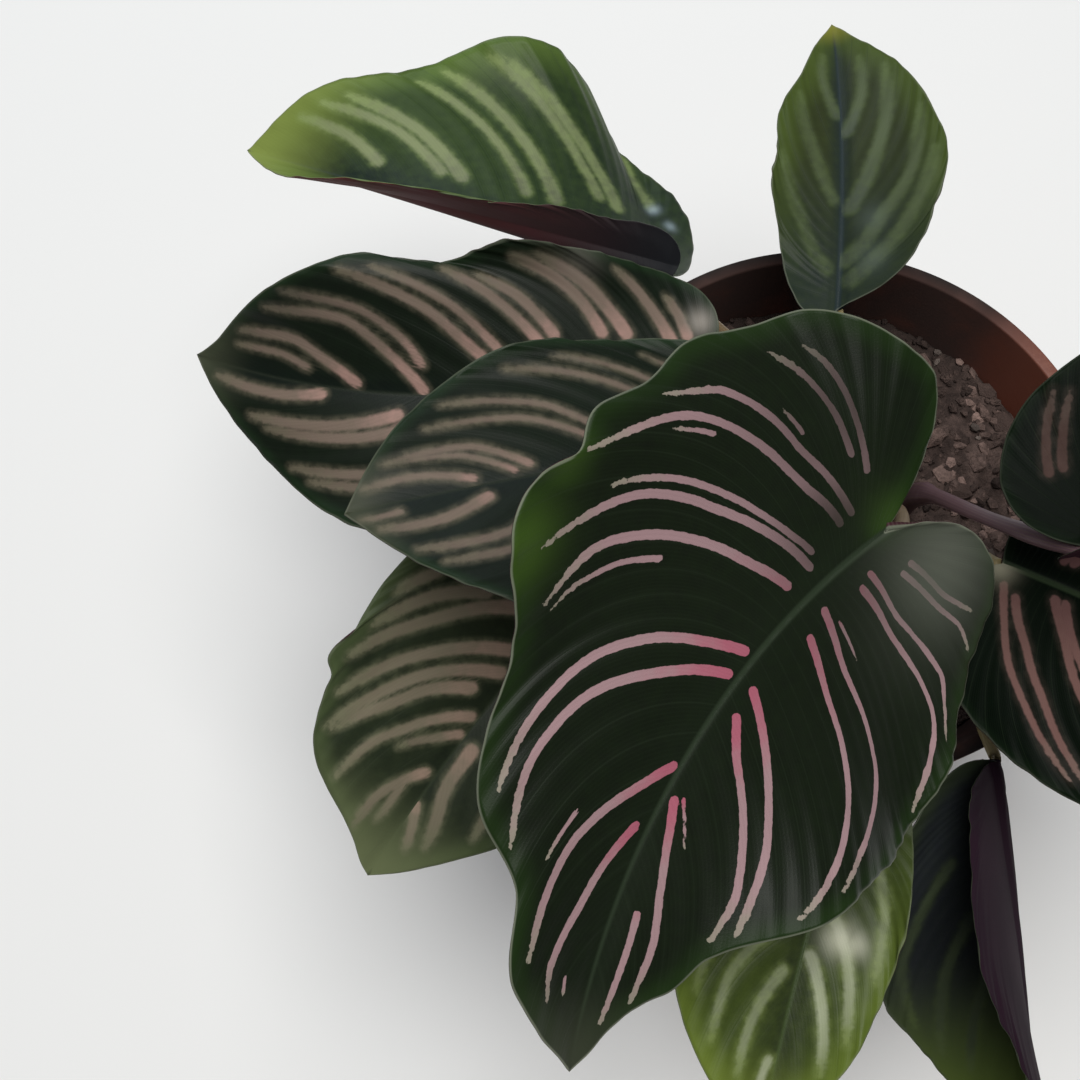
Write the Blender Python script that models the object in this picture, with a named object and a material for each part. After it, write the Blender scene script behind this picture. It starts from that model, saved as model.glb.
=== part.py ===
"""Pinstripe calathea in its pot: pot, soil, ten leaf blades and the ten stalks that carry them.

Units are metres and degrees, +Z is up, and the origin is the centre of the pot's underside.
A heading is an angle in plan, counted from +X towards +Y. A leaf's left and right are those of
someone who looks along its midrib from the base to the tip.
"""

from dataclasses import dataclass
from math import cos, pi, radians, sin, tau

import bmesh
import bpy
import numpy as np

# Pot
POT_HEIGHT = 0.130
POT_RIM_RADIUS = 0.075
POT_BASE_RADIUS = 0.052
POT_WALL = 0.0018
RIM_BAND_HEIGHT = 0.016
RIM_BAND_STEP = 0.0020
RIM_ROUNDING = 0.0006
POT_SEGMENTS = 48

# Soil
SOIL_DEPTH_BELOW_RIM = 0.020
SOIL_MOUND = 0.0035
SOIL_RIPPLE = 0.0010
# Ripples of the soil: turns along x, along y, start, share of the height
SOIL_RIPPLES = ((210, 190, 0.3, 0.5), (210, -190, 1.1, 0.5), (95, -130, 1.9, 0.6))
SOIL_RINGS = 7
SOIL_RING_CROWDING = 0.85
SOIL_SEGMENTS = 40

# Clearance that touching pieces keep
GAP = 0.0003

# Blades
BLADE_THICKNESS = 0.0008
RIB_AT_BASE = 0.0014
RIB_AT_TIP = 0.0002
BLADE_ROWS = 19
WAVY_BLADE_ROWS = 25
FRONT_BLADE_ROWS = 27
COLUMN_POSITIONS = (0.0, 0.08, 0.26, 0.46, 0.66, 0.85, 1.0)
MIDRIB_STEPS = 40

# Outline of half a blade, as shares of its width, lobe and rest of its length
OUTLINE_STEPS = 60
LOBE_TURN = 0.20
LOBE_REACH = (1.35, 1.25)
TIP_HOLLOW = 0.22

# Side veins: a row q leaves the midrib at the sum of share * q ** power, and then bows outward
VEIN_ROOTS = ((0.12, 1.0), (0.38, 2.2), (0.50, 9.0))
VEIN_BOW = 0.32
VEIN_BOW_STARTS = 0.15
VEIN_BOW_FULL = 0.45
VEIN_BOW_LIMIT = 1.2

# Edge waves: how fast they die away towards base and tip, and towards the midrib
WAVE_END_FADE = 0.7
WAVE_INWARD_FADE = 2.5

# Stalks
STALK_RADIUS_AT_SOIL = 0.0030
STALK_RADIUS_AT_SHEATH_TOP = 0.0028
STALK_RADIUS_MIDDLE = 0.0019
STALK_RADIUS_BELOW_SWELLING = 0.0016
STALK_RADIUS_TOP = 0.0014
STALK_SIDES = 8
STALK_RINGS = 13
STALK_RING_CROWDING = 1.15
STALK_STATIONS = (0.0, 0.12, 0.45, 0.78, 0.90, 1.0)  # sheath, its top, slim part, its top, swelling, end
STALK_PATH_STEPS = 80
HOLE_DEPTH = 0.012
HOLE_SIDES = 12

# Finish of each piece: colour, roughness
POT_FINISH = ((0.17, 0.045, 0.020), 0.55)
SOIL_FINISH = ((0.045, 0.028, 0.020), 0.95)
DARK_BLADE = ((0.015, 0.030, 0.015), 0.35)
LIGHT_BLADE = ((0.110, 0.190, 0.045), 0.40)
STALK_SKIN = ((0.110, 0.065, 0.055), 0.45)

MERGE_DISTANCE = 0.000001
SHARP_ANGLE = radians(40)
SOIL_LEVEL = POT_HEIGHT - SOIL_DEPTH_BELOW_RIM
STALK_START = SOIL_LEVEL + 0.002


@dataclass
class Leaf:
    """One leaf: its blade's place and shape, and the stalk that stands in the soil."""

    name: str
    base: tuple           # where the midrib starts
    heading: float        # of the midrib in plan, halfway along it
    bend: float           # change of heading from base to tip
    pitch: tuple          # rise of the midrib above level, at base and tip
    roll: tuple           # lift of the right side about the midrib, at base and tip
    length: float         # of the midrib
    half: tuple           # widest half width, left and right
    lobe: tuple           # how far the two lobes reach behind the base
    fold_left: tuple      # lift of the left half, at base and tip
    fold_right: tuple     # lift of the right half, at base and tip
    root: tuple           # where the stalk enters the soil, in plan
    come: tuple           # heading and pitch in which the stalk reaches the base
    reach: float          # how early the stalk turns into that direction
    rise: float           # how far the stalk first goes straight up
    belly: float = 0.40   # how far along the length the blade is widest
    full: float = 0.50    # how long it stays wide towards the tip
    taper: float = 0.35   # how blunt the tip is
    curl: float = 6.0     # extra lift towards the edge
    wave: tuple = (0.0015, 0.0015)  # height of the edge waves, left and right
    waves: float = 3.0    # number of waves along an edge
    phase: float = 0.0    # where the first wave starts, in turns
    pulvinus: float = 0.0018  # radius of the swelling just below the blade
    border_left: tuple = ((0, 1), (1, 1))   # bulges and hollows of the left edge: row, share of its reach
    border_right: tuple = ((0, 1), (1, 1))  # bulges and hollows of the right edge
    rows: int = BLADE_ROWS  # rows of points along the blade, base and tip included
    finish: tuple = DARK_BLADE


LEAVES = (
    Leaf("front", base=(-0.013, -0.040, 0.224), heading=238, bend=43, pitch=(11, -22), roll=(22, 22),
         length=0.119, half=(0.055, 0.055), lobe=(0.030, 0.029), fold_left=(-20, 15), fold_right=(3, 15),
         root=(0.013, -0.004), come=(190, 60), reach=0.026, rise=0.046,
         full=0.18, taper=0.26, curl=4, wave=(0.005, 0.005), waves=2.7, phase=0.24, rows=FRONT_BLADE_ROWS,
         border_left=((0, 1), (0.17, 1.05), (0.29, 0.915), (0.38, 0.98), (0.64, 0.93), (0.74, 0.97),
                      (0.85, 0.925), (0.89, 0.98), (0.95, 0.925), (1, 1)),
         border_right=((0, 1), (0.13, 1.03), (0.21, 0.925), (0.31, 0.985), (0.355, 0.96), (0.41, 1),
                       (0.453, 0.96), (0.495, 1.01), (0.527, 0.95), (0.548, 1), (0.668, 0.865),
                       (0.765, 0.97), (0.838, 0.90), (0.89, 1.05), (0.95, 1.05), (1, 1))),
    Leaf("back_left", base=(-0.048, 0.039, 0.180), heading=157, bend=-14, pitch=(7, -22), roll=(-27, 0),
         length=0.120, half=(0.018, 0.056), lobe=(0.003, 0.008), fold_left=(105, 12), fold_right=(-12, 18),
         root=(0.009, 0.012), come=(152, 40), reach=0.030, rise=0.031, finish=LIGHT_BLADE,
         belly=0.42, full=0.32, taper=0.42, curl=7, wave=(0.0015, 0.005), waves=2.9, phase=0.14,
         border_left=((0, 1), (0.40, 0.55), (0.90, 1), (1, 1)),
         border_right=((0, 1), (0.18, 1.04), (0.27, 0.96), (0.36, 0.98), (0.46, 1.08), (0.57, 1), (1, 1)),
         rows=WAVY_BLADE_ROWS),
    Leaf("back", base=(-0.004, 0.038, 0.165), heading=86, bend=4, pitch=(7, -17), roll=(7, 7),
         length=0.094, half=(0.019, 0.028), lobe=(0.005, -0.003), fold_left=(13, 10), fold_right=(24, 14),
         root=(0.017, 0.016), come=(100, 45), reach=0.022, rise=0.021, finish=LIGHT_BLADE,
         belly=0.45, full=0.40, taper=0.28, curl=7, wave=(0.001, 0.001),
         border_left=((0, 1), (0.30, 0.94), (0.40, 1.01), (0.54, 0.92), (0.63, 0.99), (0.78, 0.94),
                      (0.93, 1.03), (1, 1)),
         border_right=((0, 1), (0.32, 0.91), (0.43, 0.98), (0.58, 0.91), (0.78, 0.98), (0.92, 0.95), (1, 1))),
    Leaf("left_upper", base=(-0.038, 0.020, 0.179), heading=179, bend=-49, pitch=(6, -12), roll=(5, 37),
         length=0.129, half=(0.033, 0.036), lobe=(0.007, 0.007), fold_left=(12, 10), fold_right=(12, 12),
         root=(0.001, 0.006), come=(170, 45), reach=0.028, rise=0.031,
         belly=0.53, taper=0.33, wave=(0.004, 0.005), waves=2.4, phase=0.84, rows=WAVY_BLADE_ROWS,
         border_right=((0, 1), (0.35, 0.90), (0.44, 0.96), (0.585, 0.875), (0.70, 1), (0.90, 1.03), (1, 1))),
    Leaf("left_middle", base=(-0.027, -0.010, 0.200), heading=194, bend=6, pitch=(7, 9), roll=(-7, -6),
         length=0.095, half=(0.038, 0.031), lobe=(0.008, 0.005), fold_left=(5, 14), fold_right=(-8, 12),
         root=(0.003, -0.003), come=(192, 52), reach=0.026, rise=0.041,
         belly=0.43, taper=0.50, curl=2),
    Leaf("left_lower", base=(-0.059, -0.022, 0.152), heading=231, bend=6, pitch=(4, -27), roll=(14, 14),
         length=0.102, half=(0.032, 0.039), lobe=(0.008, 0.008), fold_left=(12, 10), fold_right=(14, 15),
         root=(0.001, -0.012), come=(195, 40), reach=0.026, rise=0.018,
         belly=0.43, full=0.56, taper=0.50, curl=7, rows=WAVY_BLADE_ROWS,
         border_left=((0, 1), (0.80, 0.94), (1, 1)),
         border_right=((0, 1), (0.48, 1.03), (0.57, 1), (0.605, 1.055), (0.645, 1.005), (0.74, 1.035),
                       (0.93, 0.94), (1, 1))),
    Leaf("front_young", base=(-0.011, -0.082, 0.169), heading=253, bend=7, pitch=(4, -16), roll=(0, 0),
         length=0.078, half=(0.019, 0.030), lobe=(0.008, 0.008), fold_left=(12, 12), fold_right=(12, 12),
         root=(0.010, -0.014), come=(250, 42), reach=0.026, rise=0.028, finish=LIGHT_BLADE,
         belly=0.39, full=0.52, taper=0.40),
    Leaf("front_right", base=(0.029, -0.073, 0.148), heading=281, bend=2, pitch=(-22, -35), roll=(-28, -42),
         length=0.106, half=(0.038, 0.034), lobe=(0.001, 0.003), fold_left=(102, 50), fold_right=(50, 8),
         root=(0.020, -0.015), come=(280, 15), reach=0.026, rise=0.031,
         belly=0.41, full=0.51, taper=0.37, curl=10, wave=(0.002, 0.002), waves=3.2, phase=0.03,
         border_left=((0, 1), (0.24, 0.76), (0.46, 1), (1, 1))),
    Leaf("right_lower", base=(0.024, -0.034, 0.183), heading=335, bend=2, pitch=(5, -22), roll=(-4, -4),
         length=0.100, half=(0.030, 0.045), lobe=(0.002, 0.011), fold_left=(-8, 5), fold_right=(7, 10),
         root=(0.028, -0.008), come=(300, 62), reach=0.018, rise=0.036,
         belly=0.38, curl=5),
    Leaf("right_upper", base=(0.034, -0.038, 0.208), heading=20, bend=10, pitch=(8, -15), roll=(0, 0),
         length=0.098, half=(0.042, 0.028), lobe=(0.019, 0.014), fold_left=(14, 10), fold_right=(80, 40),
         root=(0.023, 0.003), come=(-25, 24), reach=0.034, rise=0.030,
         belly=0.35, pulvinus=0.0023, border_left=((0, 1), (0.19, 0.935), (0.30, 0.98), (1, 1))),
)


def direction(heading, pitch):
    """Unit vector of a heading in plan and a pitch above level."""
    h, p = radians(heading), radians(pitch)
    return np.array((cos(p) * cos(h), cos(p) * sin(h), sin(p)))


def unit(v):
    """Vector, or each row of an array, scaled to length 1."""
    return v / np.linalg.norm(v, axis=-1, keepdims=True)


def bezier(points, t):
    """Points of a cubic curve at the parameters t."""
    a, b, c, d = (np.asarray(p, float) for p in points)
    t = np.asarray(t)[:, None]
    return (1 - t) ** 3 * a + 3 * t * (1 - t) ** 2 * b + 3 * t * t * (1 - t) * c + t ** 3 * d


def smooth_step(t):
    """Share that eases in and out as t goes from 0 to 1."""
    t = np.clip(t, 0, 1)
    return t * t * (3 - 2 * t)


def resample(curve, fractions):
    """Points at the given fractions of a polyline's length."""
    run = np.concatenate(([0.0], np.cumsum(np.linalg.norm(np.diff(curve, axis=0), axis=1))))
    run /= run[-1]
    return np.stack([np.interp(fractions, run, curve[:, k]) for k in range(curve.shape[1])], -1)


class Blade:
    """The curved surface of one leaf's blade, as a function of place on the flat leaf."""

    def __init__(self, leaf):
        self.leaf = leaf
        t = np.linspace(0, 1, MIDRIB_STEPS + 1)
        pitch = leaf.pitch[0] + (leaf.pitch[1] - leaf.pitch[0]) * t
        heading = leaf.heading + leaf.bend * (t - 0.5)
        along = np.array([direction(h, p) for h, p in zip(heading, pitch)])
        level = np.array([direction(h - 90, 0) for h in heading])
        upright = np.cross(level, along)
        roll = np.radians(leaf.roll[0] + (leaf.roll[1] - leaf.roll[0]) * t)[:, None]
        steps = (along[1:] + along[:-1]) / 2 * leaf.length / MIDRIB_STEPS
        self.centre = np.vstack(([leaf.base], leaf.base + np.cumsum(steps, axis=0)))
        self.along = along
        self.right = level * np.cos(roll) + upright * np.sin(roll)
        self.normal = upright * np.cos(roll) - level * np.sin(roll)

    def frame(self, y):
        """Midrib point, right and normal at the distance y from the base, which may be negative."""
        t = np.clip(y / self.leaf.length, 0, 1) * MIDRIB_STEPS
        i = np.minimum(t.astype(int), MIDRIB_STEPS - 1)
        f = (t - i)[..., None]

        def between(a):
            return a[i] * (1 - f) + a[i + 1] * f

        centre = between(self.centre) + np.minimum(y, 0)[..., None] * self.along[0]
        return centre, between(self.right), between(self.normal)

    def lift(self, side, y):
        """Angle by which a half stands up from the blade's plane."""
        start, end = self.leaf.fold_right if side > 0 else self.leaf.fold_left
        return np.radians(start + (end - start) * np.clip(y / self.leaf.length, 0, 1))

    def point(self, side, x, y, q, r):
        """Place in space of a flat leaf's point x across and y along, in row q and column r."""
        leaf = self.leaf
        centre, right, normal = self.frame(y)
        angle = self.lift(side, y) + radians(leaf.curl) * x / leaf.half[side > 0] / 2
        turn = tau * (leaf.waves * q + leaf.phase + (0.5 if side > 0 else 0.0))
        fade = np.sin(pi * np.clip(q, 0, 1)) ** WAVE_END_FADE * r ** WAVE_INWARD_FADE
        wave = leaf.wave[side > 0] * np.sin(turn) * fade
        across = np.cos(angle)[..., None] * right * side + np.sin(angle)[..., None] * normal
        return centre + x[..., None] * across + wave[..., None] * normal

    def outline(self, side, fractions):
        """Edge of one half on the flat leaf, from the base round the lobe to the tip."""
        leaf = self.leaf
        width = leaf.half[side > 0]
        first_reach, last_reach = (-leaf.lobe[side > 0] * reach for reach in LOBE_REACH)
        belly = leaf.belly * leaf.length
        rest = leaf.length - belly
        t = np.linspace(0, 1, OUTLINE_STEPS)
        round_lobe = bezier(((0, 0), (width * LOBE_TURN, first_reach),
                             (width, last_reach), (width, belly)), t)
        to_tip = bezier(((width, belly), (width, belly + rest * leaf.full),
                         (width * leaf.taper, leaf.length - rest * TIP_HOLLOW), (0, leaf.length)), t)
        return resample(np.vstack((round_lobe, to_tip[1:])), fractions)

    def border(self, side, q):
        """Share of its reach that the edge has in the rows q, eased from each bulge to the next hollow."""
        rows, shares = np.array(self.leaf.border_right if side > 0 else self.leaf.border_left).T
        k = np.clip(np.searchsorted(rows, q, side="right") - 1, 0, len(rows) - 2)
        eased = smooth_step((q - rows[k]) / (rows[k + 1] - rows[k]))
        return shares[k] + (shares[k + 1] - shares[k]) * eased

    def half_grid(self, side, rows, columns):
        """Grid of points of one half. Rows follow the side veins, which sweep towards the tip."""
        q = np.asarray(rows)
        on_midrib = sum(share * q ** power for share, power in VEIN_ROOTS) * self.leaf.length
        start = np.stack((np.zeros_like(q), on_midrib), -1)
        chord = (self.outline(side, q) - start) * self.border(side, q)[:, None]
        edge = start + chord
        bow_size = VEIN_BOW * smooth_step((q - VEIN_BOW_STARTS) / (VEIN_BOW_FULL - VEIN_BOW_STARTS))[:, None]
        outward = np.minimum(chord[:, 1], VEIN_BOW_LIMIT * chord[:, 0])
        bow = start + 0.5 * chord + bow_size * np.stack((outward, -chord[:, 0]), -1)
        r = np.asarray(columns)[None, :, None]
        flat = (1 - r) ** 2 * start[:, None] + 2 * r * (1 - r) * bow[:, None] + r ** 2 * edge[:, None]
        q_grid = np.broadcast_to(q[:, None], flat.shape[:2])
        r_grid = np.broadcast_to(r[..., 0], flat.shape[:2])
        return self.point(side, flat[..., 0], flat[..., 1], q_grid, r_grid)

    def down_at_base(self):
        """Direction straight out of the underside where the stalk joins."""
        start = np.zeros(1)
        total = np.zeros(3)
        for side in (-1, 1):
            angle = float(self.lift(side, start)[0])
            total += cos(angle) * self.normal[0] - sin(angle) * side * self.right[0]
        return -unit(total)


def material(name, colour, roughness, metallic=0.0):
    """Principled material with the piece's own colour and gloss."""
    mat = bpy.data.materials.new(name)
    mat.use_nodes = True
    shader = mat.node_tree.nodes["Principled BSDF"]
    shader.inputs["Base Color"].default_value = (*colour, 1.0)
    shader.inputs["Roughness"].default_value = roughness
    shader.inputs["Metallic"].default_value = metallic
    mat.diffuse_color = (*colour, 1.0)
    return mat


def add_object(name, bm, finish, parent):
    """Turn a bmesh into a smooth shaded object with its own material, under the plant's empty."""
    bmesh.ops.recalc_face_normals(bm, faces=bm.faces)
    mesh = bpy.data.meshes.new(name)
    bm.to_mesh(mesh)
    bm.free()
    mesh.materials.append(material(name, *finish))
    mesh.shade_smooth()
    mesh.set_sharp_from_angle(angle=SHARP_ANGLE)
    obj = bpy.data.objects.new(name, mesh)
    bpy.context.scene.collection.objects.link(obj)
    obj.parent = parent
    return obj


def lathe(profile, segments):
    """Body of revolution about Z. The profile is a list of (radius, height) from axis to axis."""
    bm = bmesh.new()
    verts = [bm.verts.new((r, 0.0, z)) for r, z in profile]
    edges = [bm.edges.new(pair) for pair in zip(verts, verts[1:])]
    bmesh.ops.spin(bm, geom=verts + edges, cent=(0, 0, 0), axis=(0, 0, 1), angle=tau, steps=segments,
                   use_merge=True)
    bmesh.ops.remove_doubles(bm, verts=bm.verts, dist=MERGE_DISTANCE)
    return bm


def outer_radius(z):
    """Radius of the pot's outer wall below the rim band."""
    top = POT_RIM_RADIUS - RIM_BAND_STEP
    return POT_BASE_RADIUS + (top - POT_BASE_RADIUS) * z / POT_HEIGHT


def pot_bmesh():
    """Thin pot with a flat bottom and a thicker band round its rim."""
    band = POT_HEIGHT - RIM_BAND_HEIGHT
    corner = RIM_ROUNDING
    inside_top = outer_radius(POT_HEIGHT) - POT_WALL
    profile = (
        (0.0, 0.0),
        (POT_BASE_RADIUS - corner, 0.0),
        (POT_BASE_RADIUS, corner),
        (outer_radius(band), band),
        (POT_RIM_RADIUS - corner, band),
        (POT_RIM_RADIUS, band + corner),
        (POT_RIM_RADIUS, POT_HEIGHT - corner),
        (POT_RIM_RADIUS - corner, POT_HEIGHT),
        (inside_top + corner, POT_HEIGHT),
        (inside_top, POT_HEIGHT - corner),
        (outer_radius(POT_WALL) - POT_WALL, POT_WALL),
        (0.0, POT_WALL),
    )
    return lathe(profile, POT_SEGMENTS)


def soil_height(x, y):
    """Top of the soil: a low mound with shallow ripples."""
    distance = (x * x + y * y) ** 0.5 / POT_RIM_RADIUS
    ripple = sum(share * sin(x * in_x + y * in_y + start) for in_x, in_y, start, share in SOIL_RIPPLES)
    return SOIL_LEVEL + SOIL_MOUND * (0.5 - distance ** 2) + SOIL_RIPPLE * ripple


def soil_bmesh():
    """Plug of soil that fills the pot up to its level and clears the wall by the gap."""
    floor = POT_WALL + GAP

    def wall(z):
        return outer_radius(z) - POT_WALL - GAP

    bm = bmesh.new()
    edge_level = SOIL_LEVEL - SOIL_MOUND
    angles = [tau * k / SOIL_SEGMENTS for k in range(SOIL_SEGMENTS)]
    rings = []
    for k in range(1, SOIL_RINGS + 1):
        radius = wall(edge_level) * (k / SOIL_RINGS) ** SOIL_RING_CROWDING
        ring = []
        for a in angles:
            x, y = radius * cos(a), radius * sin(a)
            ring.append(bm.verts.new((x, y, edge_level if k == SOIL_RINGS else soil_height(x, y))))
        rings.append(ring)
    centre = bm.verts.new((0, 0, soil_height(0, 0)))
    rings.append([bm.verts.new((wall(floor) * cos(a), wall(floor) * sin(a), floor)) for a in angles])
    under = bm.verts.new((0, 0, floor))
    for k in range(SOIL_SEGMENTS):
        j = (k + 1) % SOIL_SEGMENTS
        bm.faces.new((centre, rings[0][k], rings[0][j]))
        bm.faces.new((under, rings[-1][j], rings[-1][k]))
        for inner, outer in zip(rings, rings[1:]):
            bm.faces.new((inner[k], outer[k], outer[j], inner[j]))
    bmesh.ops.triangulate(bm, faces=bm.faces)
    return bm


def hole_cutter(parent):
    """Plain holes in which the stalks stand."""
    bm = bmesh.new()
    radius = (STALK_RADIUS_AT_SOIL + GAP) / cos(pi / HOLE_SIDES)
    bottom = SOIL_LEVEL - HOLE_DEPTH
    top = POT_HEIGHT
    for leaf in LEAVES:
        made = bmesh.ops.create_cone(bm, cap_ends=True, segments=HOLE_SIDES, radius1=radius, radius2=radius,
                                     depth=top - bottom)
        bmesh.ops.translate(bm, verts=made["verts"], vec=(*leaf.root, (top + bottom) / 2))
    cutter = add_object("stalk_hole_cutter", bm, SOIL_FINISH, parent)
    cutter.hide_render = True
    cutter.display_type = "WIRE"
    return cutter


def blade_bmesh(leaf):
    """Closed thin shell with the same triangles above and below and a rib under the midrib."""
    blade = Blade(leaf)
    rows = np.linspace(0, 1, leaf.rows)
    columns = np.array(COLUMN_POSITIONS)
    last_row, last_column = len(rows) - 1, len(columns) - 1
    points, index = [], {}
    for side in (-1, 1):
        grid = blade.half_grid(side, rows, columns)
        for i in range(len(rows)):
            for j in range(len(columns)):
                closed = i in (0, last_row)
                shared = closed or j == 0
                key = (i, 0, 0) if shared else (i, j, side)
                if key not in index:
                    index[key] = len(points)
                    points.append(grid[i, 0 if shared else j])
                index[(i, j, side)] = index[key]
    points = np.array(points)
    triangles = []
    for side in (-1, 1):
        for i in range(last_row):
            for j in range(last_column):
                a, b, c, d = (index[(i + u, j + v, side)] for u, v in ((0, 0), (0, 1), (1, 1), (1, 0)))
                for corners in ((a, b, c), (a, c, d)):
                    if len(set(corners)) == 3:
                        triangles.append(corners if side > 0 else corners[::-1])
    normals = np.zeros_like(points)
    for a, b, c in triangles:
        face = np.cross(points[b] - points[a], points[c] - points[a])
        for k in (a, b, c):
            normals[k] += face
    normals = unit(normals)
    if normals[index[(last_row // 2, 0, 0)]] @ blade.normal[MIDRIB_STEPS // 2] < 0:
        normals = -normals
    depth = np.full(len(points), BLADE_THICKNESS)
    for i, q in enumerate(rows):
        depth[index[(i, 0, 0)]] += RIB_AT_BASE + (RIB_AT_TIP - RIB_AT_BASE) * q
    below = points - normals * depth[:, None]
    below[index[(0, 0, 0)]] = points[index[(0, 0, 0)]] + blade.down_at_base() * depth[index[(0, 0, 0)]]

    bm = bmesh.new()
    upper = [bm.verts.new(p) for p in points]
    lower = [bm.verts.new(p) for p in below]
    for a, b, c in triangles:
        bm.faces.new((upper[a], upper[b], upper[c]))
        bm.faces.new((lower[c], lower[b], lower[a]))
    for side in (-1, 1):
        edge = [index[(i, last_column, side)] for i in range(len(rows))]
        for a, b in zip(edge, edge[1:]):
            bm.faces.new((upper[a], upper[b], lower[b]))
            bm.faces.new((upper[a], lower[b], lower[a]))
    return bm


def stalk_radius(s, leaf):
    """Radius of a stalk at the share s of its way up."""
    radii = (STALK_RADIUS_AT_SOIL, STALK_RADIUS_AT_SHEATH_TOP, STALK_RADIUS_MIDDLE,
             STALK_RADIUS_BELOW_SWELLING, leaf.pulvinus, STALK_RADIUS_TOP)
    return float(np.interp(s, STALK_STATIONS, radii))


def stalk_bmesh(leaf):
    """Tube from the bottom of its hole to the underside of the blade's base."""
    blade = Blade(leaf)
    down = blade.down_at_base()
    end = np.array(leaf.base) + down * (BLADE_THICKNESS + RIB_AT_BASE + GAP)
    start = np.array((*leaf.root, STALK_START))
    path = bezier((start, start + (0, 0, leaf.rise), end - direction(*leaf.come) * leaf.reach, end),
                  np.linspace(0, 1, STALK_PATH_STEPS))
    shares = 1 - (1 - np.linspace(0, 1, STALK_RINGS)) ** STALK_RING_CROWDING
    centres = resample(path, shares)
    foot = np.array((*leaf.root, SOIL_LEVEL - HOLE_DEPTH + GAP))
    centres = np.vstack((foot, centres))
    radii = [STALK_RADIUS_AT_SOIL] + [stalk_radius(s, leaf) for s in shares]
    tangents = unit(np.gradient(centres, axis=0))
    tangents[:2] = (0, 0, 1)
    tangents[-1] = -down
    across = np.array((1.0, 0.0, 0.0))

    bm = bmesh.new()
    rings = []
    for centre, radius, tangent in zip(centres, radii, tangents):
        across = unit(across - tangent * (across @ tangent))
        other = np.cross(tangent, across)
        turns = [tau * k / STALK_SIDES for k in range(STALK_SIDES)]
        rings.append([bm.verts.new(centre + radius * (cos(a) * across + sin(a) * other)) for a in turns])
    bm.faces.new(rings[0][::-1])
    bm.faces.new(rings[-1])
    for lower, upper in zip(rings, rings[1:]):
        for k in range(STALK_SIDES):
            j = (k + 1) % STALK_SIDES
            bm.faces.new((lower[k], lower[j], upper[j], upper[k]))
    bmesh.ops.triangulate(bm, faces=bm.faces)
    return bm


def main():
    """Clear the scene and make the plant."""
    for obj in list(bpy.data.objects):
        bpy.data.objects.remove(obj, do_unlink=True)
    plant = bpy.data.objects.new("plant", None)
    bpy.context.scene.collection.objects.link(plant)

    add_object("pot", pot_bmesh(), POT_FINISH, plant)
    soil = add_object("soil", soil_bmesh(), SOIL_FINISH, plant)
    holes = soil.modifiers.new("stalk_holes", "BOOLEAN")
    holes.operation = "DIFFERENCE"
    holes.solver = "EXACT"
    holes.object = hole_cutter(plant)

    for leaf in LEAVES:
        add_object("leaf_" + leaf.name, blade_bmesh(leaf), leaf.finish, plant)
        add_object("stalk_" + leaf.name, stalk_bmesh(leaf), STALK_SKIN, plant)


main()
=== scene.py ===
"""Looks of a pinstripe calathea in its nursery pot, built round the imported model.

Units are metres and degrees, +Z is up, and the origin is the centre of the pot's underside.
A heading is an angle in plan, counted from +X towards +Y. A leaf's left and right are those of
someone who looks along its midrib from the base to the tip.
"""

from dataclasses import dataclass, fields
from math import cos, pi, radians, sin, tau

import bmesh
import bpy
import numpy as np
from bpy.props import FloatProperty, FloatVectorProperty, IntProperty, PointerProperty
from bpy.types import Operator, Panel, PropertyGroup
from mathutils import Matrix, Vector, noise


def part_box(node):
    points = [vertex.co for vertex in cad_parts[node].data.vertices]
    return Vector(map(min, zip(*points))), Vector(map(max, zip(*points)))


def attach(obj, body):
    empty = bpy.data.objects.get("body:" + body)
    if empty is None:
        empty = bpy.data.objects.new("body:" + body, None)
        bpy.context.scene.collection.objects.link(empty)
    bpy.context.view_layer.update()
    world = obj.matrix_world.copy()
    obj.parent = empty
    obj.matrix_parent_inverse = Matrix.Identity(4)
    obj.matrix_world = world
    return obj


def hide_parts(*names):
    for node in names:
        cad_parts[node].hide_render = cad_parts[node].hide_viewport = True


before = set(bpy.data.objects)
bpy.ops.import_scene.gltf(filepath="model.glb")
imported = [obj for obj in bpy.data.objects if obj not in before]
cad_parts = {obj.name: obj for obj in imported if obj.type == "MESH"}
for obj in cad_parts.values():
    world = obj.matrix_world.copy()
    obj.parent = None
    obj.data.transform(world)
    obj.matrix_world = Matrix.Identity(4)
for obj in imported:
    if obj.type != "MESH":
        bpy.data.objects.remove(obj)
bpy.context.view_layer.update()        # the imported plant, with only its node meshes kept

bl_info = {
    "name": "Potted Pinstripe Calathea",
    "version": (1, 0, 0),
    "blender": (4, 5, 0),
    "location": "3D View > Sidebar > Calathea",
    "description": "Makes the leaves, stalks, soil and pot of a pinstripe calathea round its packed model",
    "category": "Add Mesh",
}

BODY = "root"
MM = 0.001


def paint(red, green, blue):
    """Linear colour of a screen colour given from 0 to 255."""
    channels = (c / 255 for c in (red, green, blue))
    return tuple(c / 12.92 if c <= 0.04045 else ((c + 0.055) / 1.055) ** 2.4 for c in channels)


# Settings that a user would change

def length(label, text, default):
    """Property for a distance in metres."""
    return FloatProperty(name=label, description=text, default=default, min=0.0, max=1.0, precision=5,
                         subtype="DISTANCE", unit="LENGTH")


def whole(label, text, default, low, high):
    """Property for a whole number."""
    return IntProperty(name=label, description=text, default=default, min=low, max=high)


def amount(label, text, default, low=0.0, unit="NONE"):
    """Property for a power, a brightness or a focal length."""
    return FloatProperty(name=label, description=text, default=default, min=low, unit=unit)


def colour(label, text, *screen):
    """Property for a colour, given as on a screen."""
    return FloatVectorProperty(name=label, description=text, default=paint(*screen), size=3, min=0.0, max=1.0,
                               subtype="COLOR")


POT_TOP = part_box("pot")[1]


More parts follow.
